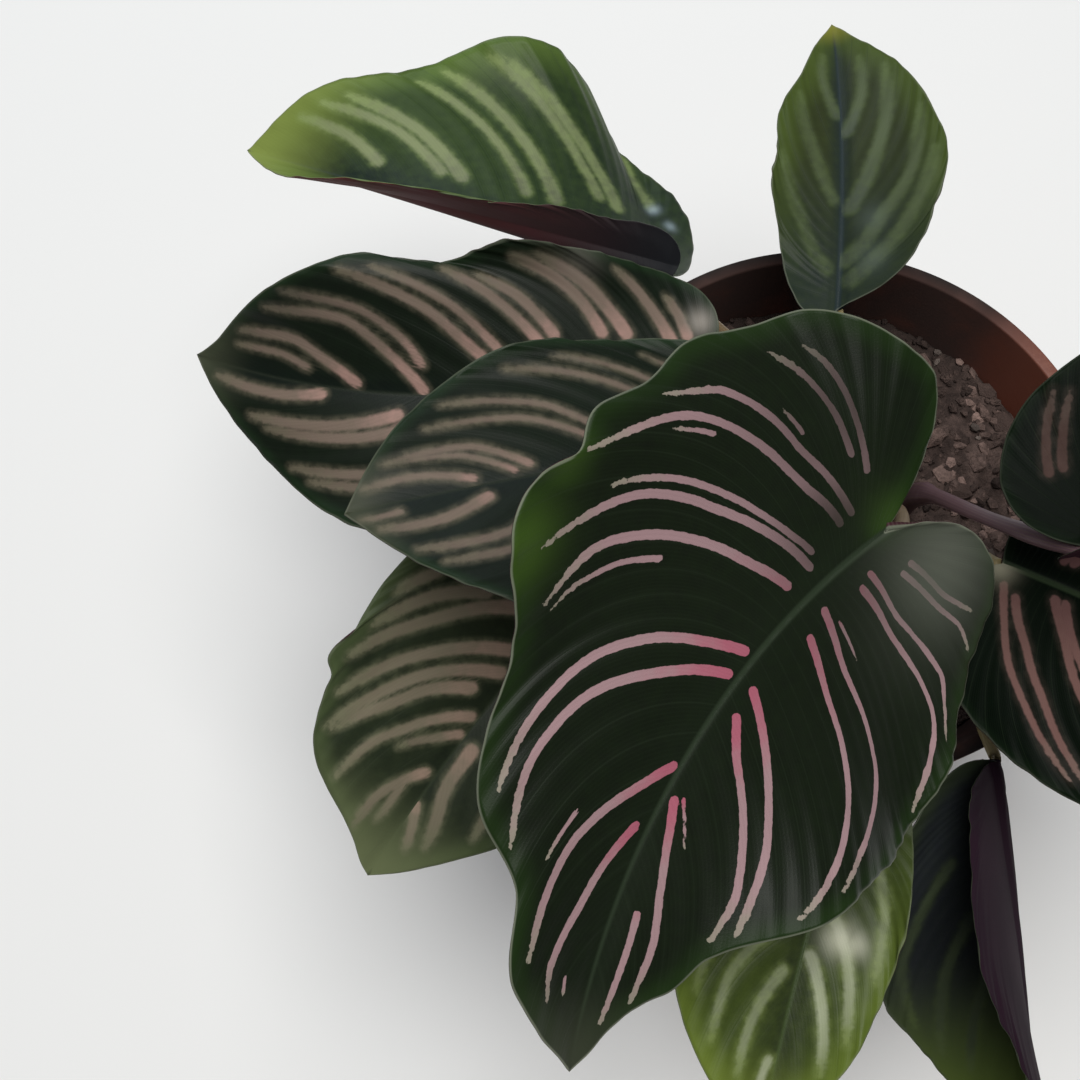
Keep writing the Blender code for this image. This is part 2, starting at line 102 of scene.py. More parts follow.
class PotSettings(PropertyGroup):
    """Sizes and colours of the nursery pot."""

    height: length("Height", "Height of the pot", POT_TOP.z)
    rim_radius: length("Rim Radius", "Outer radius of the rim band", POT_TOP.x)
    base_radius: length("Base Radius", "Outer radius of the underside", 0.052)
    wall: length("Wall", "Thickness of the wall", 0.0018)
    band_height: length("Band Height", "Height of the band round the rim", 0.016)
    band_step: length("Band Step", "How far the band stands out", 0.0020)
    segments: whole("Segments", "Faces round the pot", 192, 32, 360)
    plastic: colour("Plastic", "Colour of the moulded plastic", 112, 58, 42)
    # Also laid on the rim's lit side, as painted light
    worn: colour("Worn Plastic", "Colour where the plastic is scuffed", 128, 78, 60)
    # Also laid as painted shade on the inside and on the top edge away from the lit side
    stain: colour("Soil Stain", "Colour of the soil left on the inside", 28, 20, 17)
    # Heading of the lit side, where the painted shade is weakest and the rim's wear shows
    clean_side: FloatProperty(name="Clean Side", description="Heading of the side with the least soil on it",
                              default=radians(14), subtype="ANGLE")


class SoilSettings(PropertyGroup):
    """Sizes and colours of the potting soil."""

    level_below_rim: length("Level", "Depth of the soil below the rim", 0.020)
    peat_count: whole("Peat Crumbs", "Number of peat crumbs", 1500, 0, 4000)
    bark_count: whole("Bark Chips", "Number of bark chips", 330, 0, 1500)
    perlite_count: whole("Perlite", "Number of perlite grains", 110, 0, 800)
    peat: colour("Peat", "Colour of the damp peat", 88, 72, 66)
    bark: colour("Bark", "Colour of the bark chips", 130, 108, 100)
    perlite: colour("Perlite", "Colour of the dusty perlite", 148, 134, 126)
    seed: whole("Seed", "Seed of every random draw in the soil", 11, 0, 9999)


class BladeSettings(PropertyGroup):
    """Fineness, thickness and colours of the leaf blades."""

    rows: whole("Rows", "Rows of faces along the largest blade", 320, 60, 400)
    columns: whole("Columns", "Faces across half of the largest blade", 60, 10, 90)
    thickness: length("Thickness", "Thickness of a blade in the middle", 0.0008)
    edge_thickness: length("Edge Thickness", "Thickness of a blade at its edge", 0.00028)
    quilting: length("Quilting", "Height of the swell between two side veins", 0.00008)
    quilt_spacing: length("Quilt Spacing", "Distance between two strong side veins at the edge", 0.0062)
    ruffle: length("Ruffle", "Height of the small uneven ruffles at the edge", 0.00022)
    edge: colour("Edge Line", "Colour of the thin clear line along the edge", 122, 126, 110)


class StalkSettings(PropertyGroup):
    """Fineness and colours of the stalks."""

    sides: whole("Sides", "Faces round a stalk", 20, 8, 48)
    rings: whole("Rings", "Rings of faces along a stalk", 84, 16, 200)
    olive: colour("Olive", "Colour of the stalk's middle", 112, 98, 58)
    purple: colour("Purple", "Colour of the flush on the stalk", 98, 72, 82)
    pulvinus: colour("Swelling", "Colour of the swelling below the blade", 134, 122, 78)


class StageSettings(PropertyGroup):
    """Floor, light and camera."""

    floor: colour("Floor", "Colour of the floor", 230, 230, 229)
    key: amount("Key Light", "Power of the large soft light overhead", 46.0, unit="POWER")
    sky: amount("Sky Light", "Power of the cool light from behind", 4.0, unit="POWER")
    fill: amount("Surroundings", "Brightness that the surroundings lend", 0.14)
    backdrop: amount("Backdrop", "Brightness of the backdrop in the picture", 0.80)
    lens: amount("Lens", "Focal length of the camera", 43.33, 10.0, "CAMERA")


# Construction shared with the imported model

GAP = 0.0003
BLADE_THICKNESS = 0.0008
RIB_AT_BASE = 0.0014
RIB_AT_TIP = 0.0002
MIDRIB_STEPS = 40

# Outline of half a blade, as shares of its width, lobe and rest of its length
OUTLINE_STEPS = 60
LOBE_TURN = 0.20
LOBE_REACH = (1.35, 1.25)
TIP_HOLLOW = 0.22

# Side veins: a row q leaves the midrib at the sum of share * q ** power, and then bows outward
VEIN_ROOTS = ((0.12, 1.0), (0.38, 2.2), (0.50, 9.0))
VEIN_BOW = 0.32
VEIN_BOW_STARTS = 0.15
VEIN_BOW_FULL = 0.45
VEIN_BOW_LIMIT = 1.2

# Edge waves: how fast they die away towards base and tip, and towards the midrib
WAVE_END_FADE = 0.7
WAVE_INWARD_FADE = 2.5

# Stalks
STALK_STATIONS = (0.0, 0.12, 0.45, 0.78, 0.90, 1.0)
STALK_RADII = (0.0030, 0.0028, 0.0019, 0.0016, 0.0018, 0.0014)
STALK_PATH_STEPS = 160
STALK_START = 0.002
HOLE_DEPTH = 0.012


@dataclass
class Leaf:
    """One leaf: its blade's place, shape and markings, and the stalk that stands in the soil."""

    name: str
    base: tuple           # where the midrib starts
    heading: float        # of the midrib in plan, halfway along it
    bend: float           # change of heading from base to tip
    pitch: tuple          # rise of the midrib above level, at base and tip
    roll: tuple           # lift of the right side about the midrib, at base and tip
    length: float         # of the midrib
    half: tuple           # widest half width, left and right
    lobe: tuple           # how far the two lobes reach behind the base
    fold_left: tuple      # lift of the left half, at base and tip
    fold_right: tuple     # lift of the right half, at base and tip
    root: tuple           # where the stalk enters the soil, in plan
    come: tuple           # heading and pitch in which the stalk reaches the base
    reach: float          # how early the stalk turns into that direction
    rise: float           # how far the stalk first goes straight up
    finish: str           # name of its palette
    left: tuple = ()      # stripes of the left half: width in mm, then points as (out from midrib, row)
    right: tuple = ()     # stripes of the right half
    patches: tuple = ()   # soft patches: kind, side, row, out, radius, strength; the kinds paint light coming through, sheen and shade
    border_left: tuple = ((0, 1), (1, 1))   # rows, and the share of its reach that the left edge has there
    border_right: tuple = ((0, 1), (1, 1))  # the same for the right edge
    belly: float = 0.40   # how far along the length the blade is widest
    full: float = 0.50    # how long it stays wide towards the tip
    taper: float = 0.35   # how blunt the tip is
    curl: float = 6.0     # extra lift towards the edge
    wave: tuple = (0.0015, 0.0015)  # height of the edge waves, left and right
    waves: float = 3.0    # number of waves along an edge
    phase: float = 0.0    # where the first wave starts, in turns
    pulvinus: float = 0.0018  # radius of the swelling just below the blade
    flush: float = 0.35   # how purple the stalk is


@dataclass
class Palette:
    """Colours of a kind of blade as on a screen, and how crisp and strong its markings are."""

    dark: tuple           # between the veins
    keel: tuple           # near the midrib
    green: tuple          # towards the edge
    clear: tuple          # where light comes through
    bloom: tuple          # painted sheen: a pale highlight laid into the skin's colour
    tip: tuple            # at the very tip
    inner: tuple          # stripe near the midrib
    middle: tuple         # most of a stripe
    outer: tuple          # stripe near the edge
    midrib: tuple
    below: tuple          # underside
    keel_width: float     # distance in mm over which the colour near the midrib gives way
    keel_length: float    # share of the length over which the same colour covers the base
    softness: float       # width in mm over which a stripe's edge fades
    raggedness: float     # how far a stripe's edge strays, in mm
    fade: float           # how far a stripe has faded at the edge
    rim: float            # strength of the thin clear line along the edge
    margin: float         # width in mm of the greener border
    tip_start: float      # share of the length where the tip's colour begins
    roughness: float
    specular: float
    halo: float = 0.0     # strength of the blotchy pale haze beside the stripes

    def __post_init__(self):
        """Turn the screen colours into linear ones."""
        for field in fields(self):
            if field.type is tuple:
                setattr(self, field.name, paint(*getattr(self, field.name)))


PALETTES = {
    "mature": Palette(
        dark=(17, 22, 14), keel=(20, 26, 17), green=(27, 43, 17), clear=(58, 82, 28),
        bloom=(84, 88, 78), tip=(52, 56, 44), inner=(158, 88, 104), middle=(150, 122, 125),
        outer=(132, 126, 112), midrib=(40, 50, 36), below=(58, 26, 36), keel_width=9.0,
        keel_length=0.0, softness=0.14, raggedness=0.14, fade=0.0, rim=0.6, margin=6.0, tip_start=0.84,
        roughness=0.38, specular=0.10),
    "shaded": Palette(
        dark=(15, 21, 14), keel=(15, 21, 18), green=(26, 42, 24), clear=(60, 76, 40),
        bloom=(140, 134, 126), tip=(56, 60, 46), inner=(158, 126, 117), middle=(116, 100, 90),
        outer=(100, 94, 78), midrib=(32, 38, 30), below=(56, 26, 36), keel_width=7.0,
        keel_length=0.0, softness=1.0, raggedness=0.20, fade=0.30, rim=0.25, margin=3.5, tip_start=0.86,
        roughness=0.42, specular=0.11, halo=0.62),
    "olive": Palette(
        dark=(30, 37, 25), keel=(26, 33, 24), green=(68, 80, 50), clear=(104, 114, 70),
        bloom=(110, 112, 92), tip=(98, 106, 74), inner=(158, 134, 118), middle=(124, 114, 97),
        outer=(112, 112, 88), midrib=(46, 54, 38), below=(56, 26, 36), keel_width=7.0,
        keel_length=0.0, softness=1.1, raggedness=0.22, fade=0.30, rim=0.2, margin=6.0, tip_start=0.72,
        roughness=0.44, specular=0.14, halo=0.60),
    "dusky": Palette(
        dark=(5, 10, 6), keel=(8, 13, 9), green=(12, 22, 11), clear=(46, 60, 30),
        bloom=(150, 146, 126), tip=(20, 27, 17), inner=(100, 70, 68), middle=(106, 78, 73),
        outer=(112, 94, 86), midrib=(40, 50, 34), below=(52, 26, 38), keel_width=5.0,
        keel_length=0.0, softness=0.55, raggedness=0.18, fade=0.10, rim=0.12, margin=3.0, tip_start=0.92,
        roughness=0.40, specular=0.03, halo=0.12),
    "young": Palette(
        dark=(42, 58, 27), keel=(13, 23, 27), green=(84, 106, 48), clear=(116, 136, 74),
        bloom=(150, 166, 176), tip=(120, 134, 66), inner=(102, 104, 88), middle=(122, 130, 96),
        outer=(126, 142, 88), midrib=(26, 38, 38), below=(90, 24, 40), keel_width=17.0,
        keel_length=0.72, softness=1.4, raggedness=0.25, fade=0.30, rim=0.3, margin=11.0, tip_start=0.70,
        roughness=0.40, specular=0.12, halo=0.42),
    "moss": Palette(
        dark=(42, 48, 28), keel=(28, 36, 37), green=(64, 78, 32), clear=(116, 136, 74),
        bloom=(104, 116, 112), tip=(116, 116, 44), inner=(72, 80, 68), middle=(78, 88, 64),
        outer=(84, 98, 60), midrib=(36, 46, 47), below=(78, 26, 40), keel_width=5.0,
        keel_length=0.55, softness=2.0, raggedness=0.20, fade=0.35, rim=0.3, margin=10.0, tip_start=0.88,
        roughness=0.40, specular=0.10, halo=0.35),
    "lime": Palette(
        dark=(50, 62, 24), keel=(30, 38, 22), green=(92, 108, 42), clear=(120, 138, 60),
        bloom=(196, 196, 176), tip=(104, 118, 48), inner=(146, 150, 130), middle=(158, 164, 138),
        outer=(118, 132, 76), midrib=(52, 66, 32), below=(62, 28, 36), keel_width=9.0,
        keel_length=0.70, softness=1.2, raggedness=0.25, fade=0.40, rim=0.25, margin=8.0, tip_start=0.70,
        roughness=0.38, specular=0.12, halo=0.45),
    "folded": Palette(
        dark=(29, 32, 36), keel=(30, 29, 36), green=(44, 52, 36), clear=(78, 88, 36),
        bloom=(78, 84, 40), tip=(80, 96, 38), inner=(42, 46, 46), middle=(54, 62, 46),
        outer=(70, 82, 46), midrib=(38, 34, 40), below=(35, 12, 31), keel_width=8.0,
        keel_length=0.0, softness=1.4, raggedness=0.25, fade=0.2, rim=0.12, margin=6.0, tip_start=0.42,
        roughness=0.50, specular=0.05, halo=0.30),
}

LEAVES = (
    Leaf("front", base=(-0.013, -0.040, 0.224), heading=238, bend=43, pitch=(11, -22), roll=(22, 22),
         length=0.119, half=(0.055, 0.055), lobe=(0.030, 0.029), fold_left=(-20, 15), fold_right=(3, 15),
         root=(0.013, -0.004), come=(190, 60), reach=0.026, rise=0.046,
         full=0.18, taper=0.26, curl=4, wave=(0.005, 0.005), waves=2.7, phase=0.24, finish="mature",
         border_left=((0, 1), (0.17, 1.05), (0.29, 0.915), (0.38, 0.98), (0.64, 0.93), (0.74, 0.97),
                      (0.85, 0.925), (0.89, 0.98), (0.95, 0.925), (1, 1)),
         border_right=((0, 1), (0.13, 1.03), (0.21, 0.925), (0.31, 0.985), (0.355, 0.96), (0.41, 1),
                       (0.453, 0.96), (0.495, 1.01), (0.527, 0.95), (0.548, 1), (0.668, 0.865), (0.765, 0.97),
                       (0.838, 0.90), (0.89, 1.05), (0.95, 1.05), (1, 1)),
         right=(
             (1.35, (0.34, 0.268), (0.52, 0.288), (0.73, 0.310), (0.86, 0.332)),
             (1.35, (0.39, 0.320), (0.58, 0.336), (0.74, 0.354), (0.86, 0.370)),
             (1.45, (0.17, 0.344), (0.30, 0.404), (0.41, 0.434), (0.61, 0.440), (0.83, 0.448), (0.88, 0.476)),
             (1.55, (0.14, 0.396), (0.24, 0.440), (0.34, 0.468), (0.49, 0.482), (0.71, 0.496), (0.97, 0.528)),
             (0.8, (0.62, 0.506), (0.76, 0.514)),
             (0.8, (0.48, 0.416), (0.59, 0.420)),
             (1.25, (0.10, 0.504), (0.26, 0.552), (0.42, 0.568), (0.58, 0.574), (0.76, 0.582)),
             (1.6, (0.07, 0.526), (0.23, 0.568), (0.38, 0.588), (0.67, 0.592), (0.92, 0.610)),
             (1.7, (0.07, 0.598), (0.21, 0.622), (0.41, 0.628), (0.78, 0.628), (0.91, 0.652)),
             (1.0, (0.53, 0.652), (0.67, 0.650), (0.83, 0.654), (0.88, 0.662)),
             (1.75, (0.04, 0.734), (0.17, 0.742), (0.61, 0.742), (0.82, 0.760), (0.92, 0.776)),
             (1.75, (0.04, 0.770), (0.29, 0.778), (0.58, 0.774), (0.81, 0.784), (0.96, 0.814)),
             (1.75, (0.04, 0.864), (0.18, 0.872), (0.56, 0.874), (0.87, 0.900)),
             (0.8, (0.58, 0.854), (0.75, 0.860)),
             (1.6, (0.10, 0.900), (0.41, 0.922), (0.76, 0.928), (0.82, 0.940)),
             (0.7, (0.56, 0.950), (0.62, 0.956))),
         left=(
             (1.6, (0.07, 0.880), (0.21, 0.898), (0.38, 0.910), (0.65, 0.918), (0.91, 0.936)),
             (0.7, (0.12, 0.872), (0.31, 0.882)),
             (1.3, (0.30, 0.930), (0.45, 0.944), (0.72, 0.970)),
             (1.7, (0.09, 0.794), (0.19, 0.810), (0.38, 0.816), (0.80, 0.832), (0.91, 0.854)),
             (1.75, (0.07, 0.760), (0.23, 0.772), (0.45, 0.788), (0.66, 0.800), (0.95, 0.828)),
             (1.65, (0.10, 0.624), (0.27, 0.646), (0.47, 0.650), (0.64, 0.664), (0.78, 0.698), (0.95, 0.766)),
             (1.6, (0.07, 0.556), (0.25, 0.590), (0.48, 0.582), (0.67, 0.590), (0.82, 0.634), (0.93, 0.710)),
             (0.7, (0.14, 0.540), (0.29, 0.548)),
             (1.6, (0.13, 0.428), (0.36, 0.440), (0.65, 0.406), (0.81, 0.400), (0.90, 0.440), (0.96, 0.510)),
             (1.4, (0.12, 0.366), (0.33, 0.400), (0.60, 0.360), (0.82, 0.342), (0.93, 0.396)),
             (1.3, (0.30, 0.270), (0.59, 0.274), (0.81, 0.262), (0.96, 0.276)),
             (1.3, (0.30, 0.222), (0.59, 0.246), (0.86, 0.232))),
         patches=(("clear", 1, 0.60, 0.97, 0.006, 0.8), ("clear", 1, 0.54, 0.97, 0.004, 0.5),
                  ("clear", 1, 0.03, 0.50, 0.006, 0.35), ("bloom", -1, 0.17, 0.55, 0.016, 0.95),
                  ("bloom", -1, 0.33, 0.45, 0.016, 0.22), ("dull", 1, 0.22, 0.45, 0.022, 0.70),
                  ("dull", 1, 0.38, 0.10, 0.017, 0.90), ("dull", 1, 0.52, 0.08, 0.008, 0.5),
                  ("dull", -1, 0.45, 0.10, 0.016, 0.45), ("dull", 1, 0.29, 0.62, 0.024, 0.82))),
    Leaf("back_left", base=(-0.048, 0.039, 0.180), heading=157, bend=-14, pitch=(7, -22), roll=(-27, 0),
         length=0.120, half=(0.018, 0.056), lobe=(0.003, 0.008), fold_left=(105, 12), fold_right=(-12, 18),
         root=(0.009, 0.012), come=(152, 40), reach=0.030, rise=0.031, finish="young",
         belly=0.42, full=0.32, taper=0.42, curl=7, wave=(0.0015, 0.005), waves=2.9, phase=0.14,
         border_left=((0, 1), (0.40, 0.55), (0.90, 1), (1, 1)),
         border_right=((0, 1), (0.18, 1.04), (0.27, 0.96), (0.36, 0.98), (0.46, 1.08), (0.57, 1), (1, 1)),
         patches=(("bloom", 1, 0.30, 0.69, 0.002, 0.6), ("bloom", 1, 0.22, 0.69, 0.0018, 0.5)),
         right=(
             (2.2, (0.69, 0.310), (0.80, 0.366), (0.96, 0.374)),
             (3.1, (0.32, 0.484), (0.51, 0.540), (0.68, 0.576), (0.90, 0.614)),
             (2.5, (0.33, 0.538), (0.52, 0.580), (0.69, 0.602), (0.95, 0.632)),
             (3.1, (0.22, 0.652), (0.58, 0.687), (0.94, 0.704)),
             (2.5, (0.22, 0.715), (0.58, 0.732), (0.91, 0.750)),
             (3.1, (0.25, 0.811), (0.58, 0.824), (0.88, 0.852)),
             (2.4, (0.27, 0.834), (0.58, 0.849), (0.90, 0.886)),
             (2.5, (0.29, 0.898), (0.58, 0.903), (0.88, 0.920)))),
    Leaf("back", base=(-0.004, 0.038, 0.165), heading=86, bend=4, pitch=(7, -17), roll=(7, 7),
         length=0.094, half=(0.019, 0.028), lobe=(0.005, -0.003), fold_left=(13, 10), fold_right=(24, 14),
         root=(0.017, 0.016), come=(100, 45), reach=0.022, rise=0.021, finish="moss",
         belly=0.45, full=0.40, taper=0.28, curl=7, wave=(0.001, 0.001),
         border_left=((0, 1), (0.30, 0.94), (0.40, 1.01), (0.54, 0.92), (0.63, 0.99), (0.78, 0.94),
                      (0.93, 1.03), (1, 1)),
         patches=(("dull", -1, 0.55, 0.50, 0.045, 0.55), ("bloom", 1, 0.42, 0.22, 0.004, 0.22),
                  ("bloom", 1, 0.60, 0.22, 0.004, 0.22)),
         border_right=((0, 1), (0.32, 0.91), (0.43, 0.98), (0.58, 0.91), (0.78, 0.98), (0.92, 0.95), (1, 1)),
         right=(
             (3.4, (0.07, 0.702), (0.30, 0.746), (0.56, 0.774), (0.90, 0.812)),
             (3.2, (0.03, 0.484), (0.28, 0.584), (0.56, 0.598), (0.90, 0.652)),
             (3.2, (0.10, 0.330), (0.28, 0.430), (0.54, 0.502), (0.84, 0.540)),
             (2.6, (0.10, 0.868), (0.47, 0.870), (0.78, 0.902))),
         left=(
             (2.5, (0.10, 0.718), (0.40, 0.750), (0.70, 0.754), (0.88, 0.764)),
             (2.5, (0.12, 0.400), (0.39, 0.520), (0.65, 0.560), (0.83, 0.586)),
             (2.1, (0.12, 0.892), (0.58, 0.892), (0.74, 0.920)))),
    Leaf("left_upper", base=(-0.038, 0.020, 0.179), heading=179, bend=-49, pitch=(6, -12), roll=(5, 37),
         length=0.129, half=(0.033, 0.036), lobe=(0.007, 0.007), fold_left=(12, 10), fold_right=(12, 12),
         root=(0.001, 0.006), come=(170, 45), reach=0.028, rise=0.031, finish="shaded",
         belly=0.53, taper=0.33, wave=(0.004, 0.005), waves=2.4, phase=0.84,
         border_right=((0, 1), (0.35, 0.90), (0.44, 0.96), (0.585, 0.875), (0.70, 1), (0.90, 1.03), (1, 1)),
         right=(
             (2.3, (0.10, 0.914), (0.44, 0.906), (0.67, 0.894), (0.92, 0.918)),
             (1.6, (0.32, 0.930), (0.54, 0.928), (0.81, 0.946)),
             (2.2, (0.04, 0.872), (0.21, 0.862), (0.42, 0.848), (0.68, 0.826), (0.93, 0.856)),
             (1.8, (0.24, 0.842), (0.43, 0.820), (0.69, 0.800), (0.95, 0.812)),
             (2.3, (0.17, 0.778), (0.34, 0.770), (0.53, 0.754), (0.93, 0.734)),
             (1.9, (0.22, 0.748), (0.52, 0.724), (0.87, 0.708)),
             (2.3, (0.21, 0.682), (0.47, 0.666), (0.78, 0.648)),
             (2.5, (0.24, 0.644), (0.51, 0.622), (0.71, 0.620)),
             (2.6, (0.21, 0.538), (0.39, 0.518), (0.58, 0.506), (0.84, 0.500)),
             (2.9, (0.18, 0.472), (0.34, 0.470), (0.52, 0.462), (0.78, 0.466)),
             (2.9, (0.12, 0.300), (0.41, 0.288), (0.65, 0.286), (0.81, 0.300)),
             (2.6, (0.22, 0.190), (0.43, 0.184), (0.65, 0.194))),
         left=(
             (2.3, (0.15, 0.932), (0.40, 0.941), (0.78, 0.970)),
             (2.6, (0.22, 0.868), (0.50, 0.880), (0.86, 0.902)),
             (2.5, (0.24, 0.840), (0.50, 0.851), (0.84, 0.880)),
             (2.5, (0.30, 0.762), (0.60, 0.770), (0.92, 0.800)),
             (2.3, (0.34, 0.725), (0.60, 0.732), (0.91, 0.770)),
             (2.3, (0.22, 0.610), (0.55, 0.630), (0.90, 0.670)),
             (2.3, (0.20, 0.560), (0.55, 0.580), (0.88, 0.620)),
             (2.3, (0.20, 0.400), (0.55, 0.430), (0.86, 0.470)),
             (2.2, (0.22, 0.330), (0.55, 0.350), (0.84, 0.380))),
         patches=(("bloom", 1, 0.11, 0.45, 0.0032, 0.85), ("bloom", 1, 0.36, 0.90, 0.006, 0.2))),
    Leaf("left_middle", base=(-0.027, -0.010, 0.200), heading=194, bend=6, pitch=(7, 9), roll=(-7, -6),
         length=0.095, half=(0.038, 0.031), lobe=(0.008, 0.005), fold_left=(5, 14), fold_right=(-8, 12),
         root=(0.003, -0.003), come=(192, 52), reach=0.026, rise=0.041, finish="shaded",
         belly=0.43, taper=0.50, curl=2,
         patches=(("dull", 1, 0.60, 0.50, 0.060, 0.30), ("dull", -1, 0.60, 0.50, 0.060, 0.30)),
         right=(
             (1.5, (0.16, 0.590), (0.50, 0.632), (0.84, 0.676)),
             (1.3, (0.16, 0.500), (0.50, 0.556), (0.76, 0.612)),
             (1.2, (0.20, 0.400), (0.50, 0.432), (0.72, 0.446)),
             (1.5, (0.14, 0.755), (0.52, 0.750), (0.90, 0.782)),
             (1.4, (0.14, 0.780), (0.50, 0.793), (0.85, 0.845)),
             (1.5, (0.13, 0.878), (0.52, 0.873), (0.90, 0.916)),
             (1.1, (0.10, 0.896), (0.50, 0.893), (0.84, 0.914)),
             (1.5, (0.14, 0.926), (0.50, 0.936), (0.91, 0.960))),
         left=(
             (2.3, (0.20, 0.915), (0.55, 0.924), (0.90, 0.950)),
             (1.4, (0.42, 0.966), (0.89, 0.978)),
             (2.1, (0.20, 0.848), (0.58, 0.851), (0.92, 0.890)),
             (2.0, (0.20, 0.800), (0.62, 0.812), (0.92, 0.848)),
             (2.0, (0.20, 0.660), (0.55, 0.690), (0.90, 0.740)),
             (2.0, (0.20, 0.620), (0.55, 0.645), (0.88, 0.690)),
             (2.0, (0.20, 0.450), (0.55, 0.490), (0.86, 0.540)))),
    Leaf("left_lower", base=(-0.059, -0.022, 0.152), heading=231, bend=6, pitch=(4, -27), roll=(14, 14),
         length=0.102, half=(0.032, 0.039), lobe=(0.008, 0.008), fold_left=(12, 10), fold_right=(14, 15),
         root=(0.001, -0.012), come=(195, 40), reach=0.026, rise=0.018, finish="olive",
         belly=0.43, full=0.56, taper=0.50, curl=7,
         border_left=((0, 1), (0.80, 0.94), (1, 1)),
         border_right=((0, 1), (0.48, 1.03), (0.57, 1), (0.605, 1.055), (0.645, 1.005), (0.74, 1.035),
                       (0.93, 0.94), (1, 1)),
         right=(
             (2.5, (0.69, 0.540), (0.86, 0.546)),
             (3.0, (0.34, 0.620), (0.61, 0.616), (0.81, 0.616)),
             (3.0, (0.18, 0.650), (0.33, 0.662), (0.47, 0.672), (0.61, 0.668), (0.92, 0.638)),
             (2.9, (0.10, 0.752), (0.45, 0.738), (0.76, 0.714), (0.90, 0.700)),
             (2.8, (0.07, 0.798), (0.46, 0.772), (0.73, 0.758), (0.93, 0.740)),
             (2.8, (0.18, 0.820), (0.44, 0.798), (0.62, 0.790), (0.91, 0.752)),
             (2.4, (0.07, 0.866), (0.56, 0.840), (0.73, 0.824), (0.94, 0.822)),
             (2.1, (0.06, 0.888), (0.28, 0.880), (0.55, 0.862)),
             (2.5, (0.18, 0.922), (0.47, 0.914), (0.71, 0.906), (0.95, 0.912)),
             (2.0, (0.44, 0.922), (0.57, 0.936), (0.69, 0.938))),
         left=(
             (3.2, (0.17, 0.882), (0.19, 0.904), (0.29, 0.918), (0.78, 0.918)),
             (2.4, (0.02, 0.954), (0.64, 0.954)),
             (2.8, (0.14, 0.780), (0.50, 0.800), (0.88, 0.830)),
             (2.8, (0.14, 0.740), (0.50, 0.762), (0.86, 0.790)),
             (2.8, (0.16, 0.580), (0.50, 0.610), (0.86, 0.650)),
             (2.8, (0.16, 0.540), (0.50, 0.565), (0.84, 0.600)))),
    Leaf("front_young", base=(-0.011, -0.082, 0.169), heading=253, bend=7, pitch=(4, -16), roll=(0, 0),
         length=0.078, half=(0.019, 0.030), lobe=(0.008, 0.008), fold_left=(12, 12), fold_right=(12, 12),
         root=(0.010, -0.014), come=(250, 42), reach=0.026, rise=0.028, finish="lime",
         belly=0.39, full=0.52, taper=0.40,
         patches=(("bloom", -1, 0.735, 0.30, 0.0036, 0.70), ("bloom", -1, 0.70, 0.42, 0.0030, 0.60),
                  ("dull", 1, 0.82, 0.40, 0.020, 0.68), ("dull", -1, 0.50, 0.70, 0.014, 0.5)),
         left=(
             (2.3, (0.10, 0.828), (0.54, 0.830), (0.86, 0.834)),
             (2.2, (0.16, 0.722), (0.48, 0.736), (0.84, 0.762)),
             (1.8, (0.40, 0.470), (0.58, 0.548), (0.76, 0.648))),
         right=(
             (2.2, (0.16, 0.852), (0.46, 0.872), (0.76, 0.902)),
             (2.0, (0.30, 0.774), (0.60, 0.780), (0.86, 0.818)),
             (1.8, (0.20, 0.940), (0.56, 0.958)),
             (2.2, (0.20, 0.660), (0.50, 0.680), (0.86, 0.730)))),
    Leaf("front_right", base=(0.029, -0.073, 0.148), heading=281, bend=2, pitch=(-22, -35), roll=(-28, -42),
         length=0.106, half=(0.038, 0.034), lobe=(0.001, 0.003), fold_left=(102, 50), fold_right=(50, 8),
         root=(0.020, -0.015), come=(280, 15), reach=0.026, rise=0.031, finish="folded",
         belly=0.41, full=0.51, taper=0.37, curl=10, wave=(0.002, 0.002), waves=3.2, phase=0.03,
         border_left=((0, 1), (0.24, 0.76), (0.46, 1), (1, 1)),
         right=(
             (2.3, (0.30, 0.520), (0.76, 0.588), (0.91, 0.690)),
             (2.5, (0.25, 0.700), (0.56, 0.728), (0.88, 0.776)),
             (2.5, (0.22, 0.815), (0.50, 0.828), (0.80, 0.850)))),
    Leaf("right_lower", base=(0.024, -0.034, 0.183), heading=335, bend=2, pitch=(5, -22), roll=(-4, -4),
         length=0.100, half=(0.030, 0.045), lobe=(0.002, 0.011), fold_left=(-8, 5), fold_right=(7, 10),
         root=(0.028, -0.008), come=(300, 62), reach=0.018, rise=0.036, finish="dusky",
         belly=0.38, curl=5,
         patches=(("bloom", 1, 0.02, 0.30, 0.0035, 0.8), ("dull", 1, 0.20, 0.30, 0.020, 0.35)),
         right=(
             (1.6, (0.18, 0.196), (0.34, 0.335), (0.58, 0.430), (0.88, 0.466)),
             (1.8, (0.17, 0.308), (0.30, 0.432), (0.51, 0.482), (0.86, 0.496)),
             (2.0, (0.06, 0.478), (0.18, 0.542), (0.50, 0.590), (0.88, 0.626)),
             (2.0, (0.06, 0.520), (0.30, 0.602), (0.86, 0.660)),
             (2.0, (0.07, 0.740), (0.45, 0.750), (0.90, 0.782)),
             (2.0, (0.07, 0.775), (0.45, 0.786), (0.88, 0.822)),
             (2.0, (0.10, 0.880), (0.45, 0.886), (0.88, 0.906)),
             (1.6, (0.14, 0.925), (0.75, 0.940))),
         left=(
             (1.8, (0.14, 0.420), (0.45, 0.480), (0.84, 0.520)),
             (1.8, (0.14, 0.460), (0.45, 0.520), (0.84, 0.560)),
             (2.0, (0.10, 0.660), (0.45, 0.690), (0.88, 0.720)),
             (2.0, (0.10, 0.700), (0.45, 0.728), (0.86, 0.758)),
             (1.8, (0.10, 0.845), (0.45, 0.860), (0.88, 0.880)),
             (1.6, (0.14, 0.915), (0.75, 0.930)))),
    Leaf("right_upper", base=(0.034, -0.038, 0.208), heading=20, bend=10, pitch=(8, -15), roll=(0, 0),
